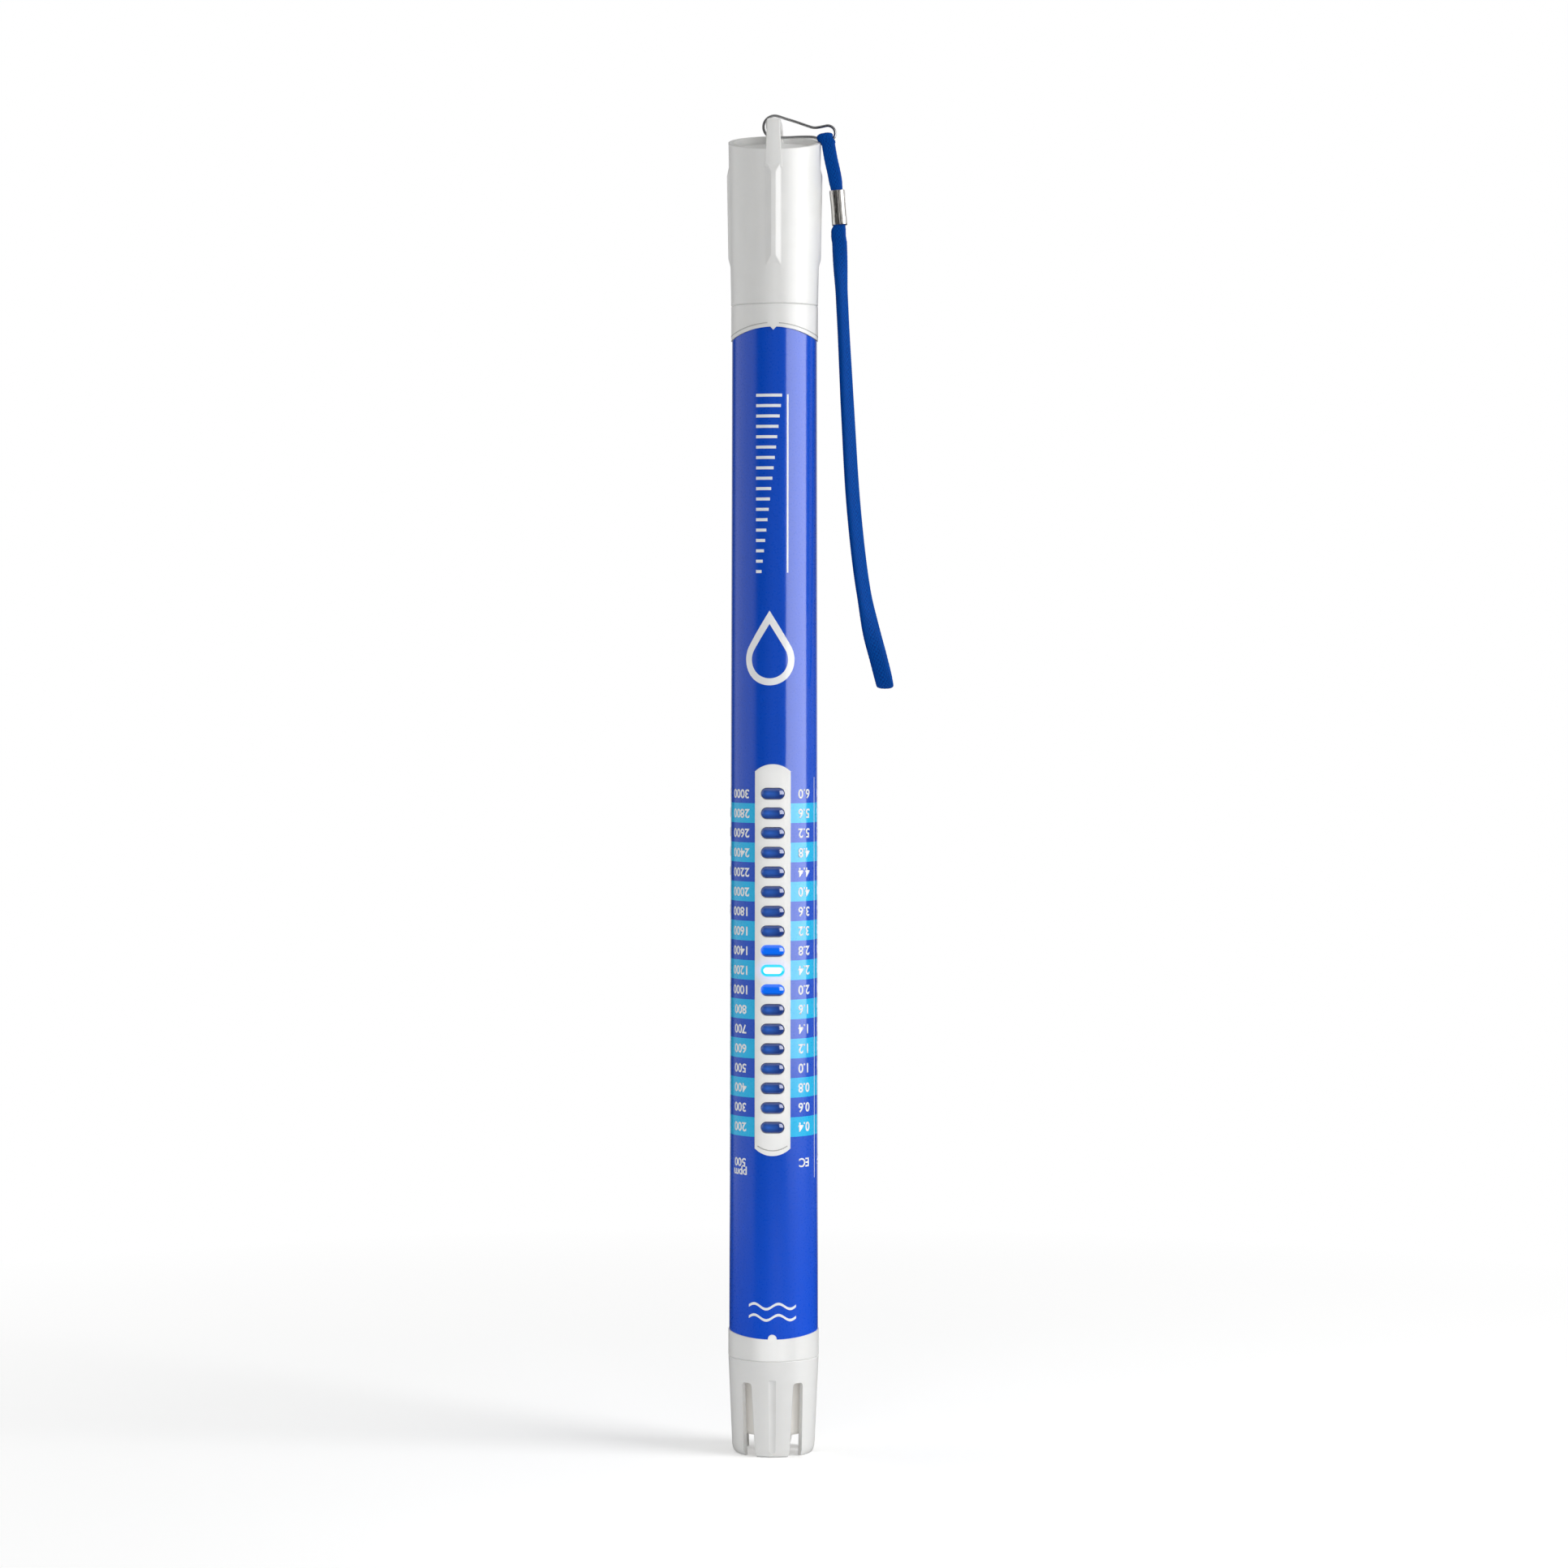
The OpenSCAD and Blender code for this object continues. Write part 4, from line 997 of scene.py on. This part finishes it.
def crimp_piece():
    """The folded sleeve: its sheet's two edges meet in a seam down the front."""
    lean = math.atan2(CRIMP_FOOT[0] - CRIMP_TOP[0], CRIMP_TOP[1] - CRIMP_FOOT[1])
    half = (CRIMP_BORE[0] / 2 + CRIMP_WALL, CRIMP_BORE[1] / 2 + CRIMP_WALL)
    section = crimp_section(half)
    turn = Matrix.Translation((CRIMP_FOOT[0] * MM, 0, CRIMP_FOOT[1] * MM)) @ Matrix.Rotation(-lean, 4, "Y")
    rings = []
    for z, pull in CRIMP_PULL:
        rings.append([turn @ Vector((x * (1 - pull / half[0]), y * (1 - pull / half[1]), z))
                      for x, y in section])
    inner = [[turn @ Vector((x * CRIMP_BORE[0] / 2 / half[0], y * CRIMP_BORE[1] / 2 / half[1], z))
              for x, y in section] for z in (CRIMP_LEN, 0.0)]
    obj = weld(new_object("crimp_sleeve", *loft(rings + inner, close_v=True)))
    sharp_edges(obj)
    obj.data.materials.append(metal("crimp_nickel", (0.78, 0.76, 0.73), (0.68, 0.66, 0.63), 0.3,
                                    (1, 1, 0.05), 0.00005))
    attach(obj, "strap")
    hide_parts("strap_crimp")
    return obj


# ---- Wrist strap ----

# The middle of the braid as (x, y, z) in mm: from the crimp over the wire, back through the
# crimp, round the hanging loop and into the crimp again
STRAP_ROUTE = [
    (19.3, 1.15, 378.8), (18.9, 1.15, 383.5), (18.1, 1.4, 388.5), (17.1, 1.65, 393),
    (16.3, 1.75, 397.5), (16, 1.35, 399.7), (16, 0.75, 400.2),
    (16, 0, 400.3),
    (16, -0.75, 400.2), (16, -1.35, 399.7), (16.3, -1.75, 397.5), (17.1, -1.65, 393),
    (18.1, -1.4, 388.5), (18.9, -1.15, 383.5), (19.3, -1.15, 378.4), (19.7, -1.15, 373.3),
    (19.8, -1.5, 369.5), (20.3, -2.6, 357), (21.2, -3.6, 338), (22.4, -4.2, 314),
    (23.8, -4.5, 290), (26.1, -4.6, 268), (28.9, -4.6, 252), (31.5, -4.4, 242),
    (32.9, -3.5, 236.6), (33.5, -1.8, 234.2),
    (33.7, 0, 233.7),
    (33.6, 1.8, 234.3), (33.1, 3.5, 236.8), (31.8, 4.4, 242), (29.3, 4.6, 252),
    (26.4, 4.6, 268), (24, 4.5, 290), (22.4, 4.2, 314), (21, 3.6, 338),
    (20, 2.6, 357), (19.5, 1.5, 369.5), (19.6, 1.15, 373.3), (19.5, 1.15, 377.8),
]
STRAP_W = 5.2
STRAP_T = 2.2
BRAID_STEP = 0.0002
BRAID_SIDES = 66
BRAID_SQUARE = (0.8, 0.75)
BRAID_YARNS = 18
BRAID_PITCH = 0.0013
BRAID_DEPTH = 0.00016


def smooth_between(value, low, high):
    """Runs from 0 at low to 1 at high, level at both ends."""
    t = min(1.0, max(0.0, (value - low) / (high - low)))
    return t * t * (3 - 2 * t)


def strap_section(p):
    """Width and thickness of the braid at a point of its route, in metres.

    The heights here and below are the route's own: the crimp is at 373 to 384 mm, and the wire at
    399 mm.
    """
    z, y = p.z / MM, abs(p.y) / MM
    wide = STRAP_W + (4.3 - STRAP_W) * smooth_between(z, 318, 345)
    wide -= 0.55 * smooth_between(z, 371.5, 373.5) * (1 - smooth_between(z, 383.5, 387))
    wide -= 0.2 * smooth_between(z, 371.5, 373.5)
    thick = STRAP_T - 0.25 * smooth_between(z, 397, 400)
    if z > 398:
        inside = 1 - smooth_between(y, 0.7, 1.3)
        wide += 0.5 * (1 - inside) - 0.75 * inside
        thick = 1.95
    return wide * MM, thick * MM


def strap_shift(p):
    """How far the braid's middle lies from its route: it bulges under the crimp and at the wire."""
    z, y = p.z / MM, abs(p.y) / MM
    fold = smooth_between(z, 398, 399.6) * smooth_between(y, 0.7, 1.3)
    bulge = smooth_between(z, 367.5, 370) * (1 - smooth_between(z, 371.5, 373.5))
    return (-0.95 * fold - 0.25 * bulge) * MM


def strap_turn(p):
    """Turn of the braid's width about Z: face-on at both ends, turned in between."""
    z = p.z / MM
    return math.radians(48 * min(smooth_between(z, 240, 262), 1 - smooth_between(z, 352, 370)))


def braid_height(around, along):
    """Height of the crossing yarns, from 0 to 1. Both arguments count yarns."""
    a, b = around + along, around - along
    over = math.sin(math.pi * a) * math.sin(math.pi * b) > 0
    across = a if over else b
    lengthwise = b if over else a
    crown = abs(math.sin(math.pi * across))
    return 0.25 + 0.75 * crown ** 0.7 * (0.55 + 0.45 * abs(math.sin(math.pi * lengthwise)))


def strap_piece():
    """The flat braid, one piece from end to end, with its crossing yarns as real relief."""
    path = smooth_path([(x * MM, y * MM, z * MM) for x, y, z in STRAP_ROUTE], BRAID_STEP)
    n = len(path)
    rings, heights, run = [], [], 0.0
    for i, p in enumerate(path):
        along = (path[min(i + 1, n - 1)] - path[max(i - 1, 0)]).normalized()
        if i:
            run += (p - path[i - 1]).length
        width, thick = strap_section(p)
        turn = strap_turn(p)
        face = Vector((math.cos(turn), math.sin(turn), 0))
        v = along.cross(face).normalized()
        u = v.cross(along)
        middle = p + Vector((strap_shift(p), 0, 0))
        ring = []
        for j in range(BRAID_SIDES):
            a = 2 * math.pi * j / BRAID_SIDES
            c, s = math.cos(a), math.sin(a)
            x = math.copysign(abs(c) ** BRAID_SQUARE[0], c)
            y = math.copysign(abs(s) ** BRAID_SQUARE[1], s)
            h = braid_height(BRAID_YARNS * j / BRAID_SIDES, run / BRAID_PITCH)
            heights.append(h)
            pull = BRAID_DEPTH * (1 - h)
            ring.append(middle + u * x * (width / 2 - pull) + v * y * (thick / 2 - pull))
        rings.append(ring)
    obj = new_object("braided_strap", *loft(rings, cap=True))
    yarn = obj.data.color_attributes.new(name="yarn", type="FLOAT_COLOR", domain="POINT")
    yarn.data.foreach_set("color", [channel for h in heights for channel in (h, h, h, 1)])
    weld(obj, 1e-8)
    obj.data.materials.append(braid_fabric("braid_fabric"))
    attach(obj, "strap")
    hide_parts("wrist_strap")
    return obj


# ---- Stage and light ----


# Radiance of each part of the studio
FRONT_LIGHT = 0.02
CEILING_LIGHT = 0.55
LEFT_LIGHT = 0.5
RIGHT_LIGHT = 0.2
BACK_LIGHT = 0.55
SOFTBOX_LIGHT = 3.5
PAPER_LIFT = 0.26
# The share of the softbox's light that matt surfaces get
SOFTBOX_MATT = 0.74
# Place, target and size of the softbox
SOFTBOX = ((0.997, -0.465, 0.46), (0, 0, 0.46), (1.35, 0.9))
# Lights that gloss doesn't show: name, place, target, size and radiance
MATT_LIGHTS = (
    ("key_high", (0.8, -0.3, 0.8), (0, 0, 0.1), (0.5, 0.5), 6.8),
    ("fill_left", (-1.0, 0.35, 0.4), (0, 0, 0.2), (1.0, 1.0), 1.0),
    ("fill_front", (0, -1.6, 0.5), (0, 0, 0.2), (1.2, 1.2), 0.9),
    ("fill_foot", (0.04, -0.2, 0.03), (0, 0, 0.015), (0.12, 0.04), 2.5),
)
# Cards round the object: axis of the view direction, where its light starts and is full, radiance
CARDS = ((0, -0.66, -0.9, LEFT_LIGHT), (0, 0.5, 0.85, RIGHT_LIGHT), (1, 0.85, 0.97, BACK_LIGHT))
CEILING_REACH = (0.35, 0.85)
# The cards give no light from directions below this height
TABLE_EDGE = (-0.145, -0.125)
# Distances from the object over which the paper fades to pure white
PAPER_FADE = (0.2, 0.5)
FLOOR_SIZE = 8
# The floor lies just under the foot
FLOOR_Z = -0.00005


def area_light(name, place, target, size, radiance):
    """A softbox of that radiance: its power follows from its area."""
    data = bpy.data.lights.new(name, "AREA")
    data.shape = "RECTANGLE"
    data.size, data.size_y = size
    data.energy = radiance * size[0] * size[1] * math.pi
    light = bpy.data.objects.new(name, data)
    scene.collection.objects.link(light)
    light.location = place
    light.visible_camera = False
    light.rotation_euler = (Vector(target) - Vector(place)).to_track_quat("-Z", "Y").to_euler()
    return light


def world_light():
    """White to the eye; as light, a bright ceiling, a card on the left and dark in front."""
    world = bpy.data.worlds.new("studio")
    scene.world = world
    world.use_nodes = True
    tree = world.node_tree

    def lobe(value, start, end, strength):
        ramp = add_node(tree, "ShaderNodeMapRange",
                        {"Value": value, "From Min": start, "From Max": end, "To Min": 0.0,
                         "To Max": strength}, interpolation_type="SMOOTHSTEP")
        return ramp.outputs[0]

    def math_node(operation, a, b):
        return add_node(tree, "ShaderNodeMath", {0: a, 1: b}, operation=operation).outputs[0]

    towards = tree.nodes.new("ShaderNodeTexCoord").outputs["Generated"]
    parts = add_node(tree, "ShaderNodeSeparateXYZ", {0: towards}).outputs
    over_table = lobe(parts[2], *TABLE_EDGE, 1.0)
    strength = FRONT_LIGHT
    for side, start, end, light in CARDS:
        card = math_node("MULTIPLY", lobe(parts[side], start, end, light), over_table)
        strength = math_node("ADD", card, strength)
    ceiling = lobe(parts[2], *CEILING_REACH, CEILING_LIGHT)
    strength = math_node("ADD", ceiling, strength)
    back = tree.nodes["Background"]
    back.inputs["Color"].default_value = (1.0, 1.0, 0.99, 1)
    tree.links.new(strength, back.inputs["Strength"])
    white = add_node(tree, "ShaderNodeBackground", {"Color": (1, 1, 1, 1), "Strength": 1.0})
    seen = tree.nodes.new("ShaderNodeLightPath").outputs["Is Camera Ray"]
    choose = add_node(tree, "ShaderNodeMixShader", {0: seen, 1: back.outputs[0], 2: white.outputs[0]})
    tree.links.new(choose.outputs[0], tree.nodes["World Output"].inputs[0])


def floor_paper():
    """White paper that takes a shadow near the object and fades to pure white further off."""
    s = Shader("floor_paper", (0.9, 0.9, 0.9))
    x, y, _ = s.axes()
    far = s.distance(x, y)
    seen = s.add("ShaderNodeLightPath").outputs["Is Camera Ray"]
    grain = s.mix(s.spread(s.noise(900, 3), 0.0, 1.0), (0.91, 0.91, 0.91), (0.9, 0.9, 0.9))
    paper = s.add("ShaderNodeBsdfDiffuse", {"Color": grain}).outputs[0]
    lift = s.add("ShaderNodeEmission", {"Strength": s.times(seen, PAPER_LIFT)}).outputs[0]
    near = s.add("ShaderNodeAddShader", {0: paper, 1: lift}).outputs[0]
    white = s.add("ShaderNodeEmission").outputs[0]
    fade = s.times(seen, s.spread(far, 0.0, 1.0, *PAPER_FADE))
    surface = s.add("ShaderNodeMixShader", {0: fade, 1: near, 2: white}).outputs[0]
    s.tree.links.new(surface, s.tree.nodes["Material Output"].inputs["Surface"])
    return s.mat


def studio():
    """White sweep, a large softbox on the right, fill lights, and the world's cards and ceiling."""
    scene.view_settings.view_transform = "Standard"
    world_light()
    area_light("softbox_gloss", *SOFTBOX, SOFTBOX_LIGHT).visible_diffuse = False
    area_light("softbox_fill", *SOFTBOX, SOFTBOX_LIGHT * SOFTBOX_MATT).visible_glossy = False
    for light in MATT_LIGHTS:
        area_light(*light).visible_glossy = False
    bpy.ops.mesh.primitive_plane_add(size=FLOOR_SIZE, location=(0, 0, FLOOR_Z))
    floor = bpy.context.object
    floor.name = "floor"
    floor.visible_glossy = False
    floor.data.materials.append(floor_paper())


INK = white_ink("white_ink")
clip = clip_piece()
crimp = crimp_piece()
strap_piece()
finish_cad_nodes()
label_piece()
tube_trim()
scale_numbers()
plain_signs()
lens_strip_piece()
studio()
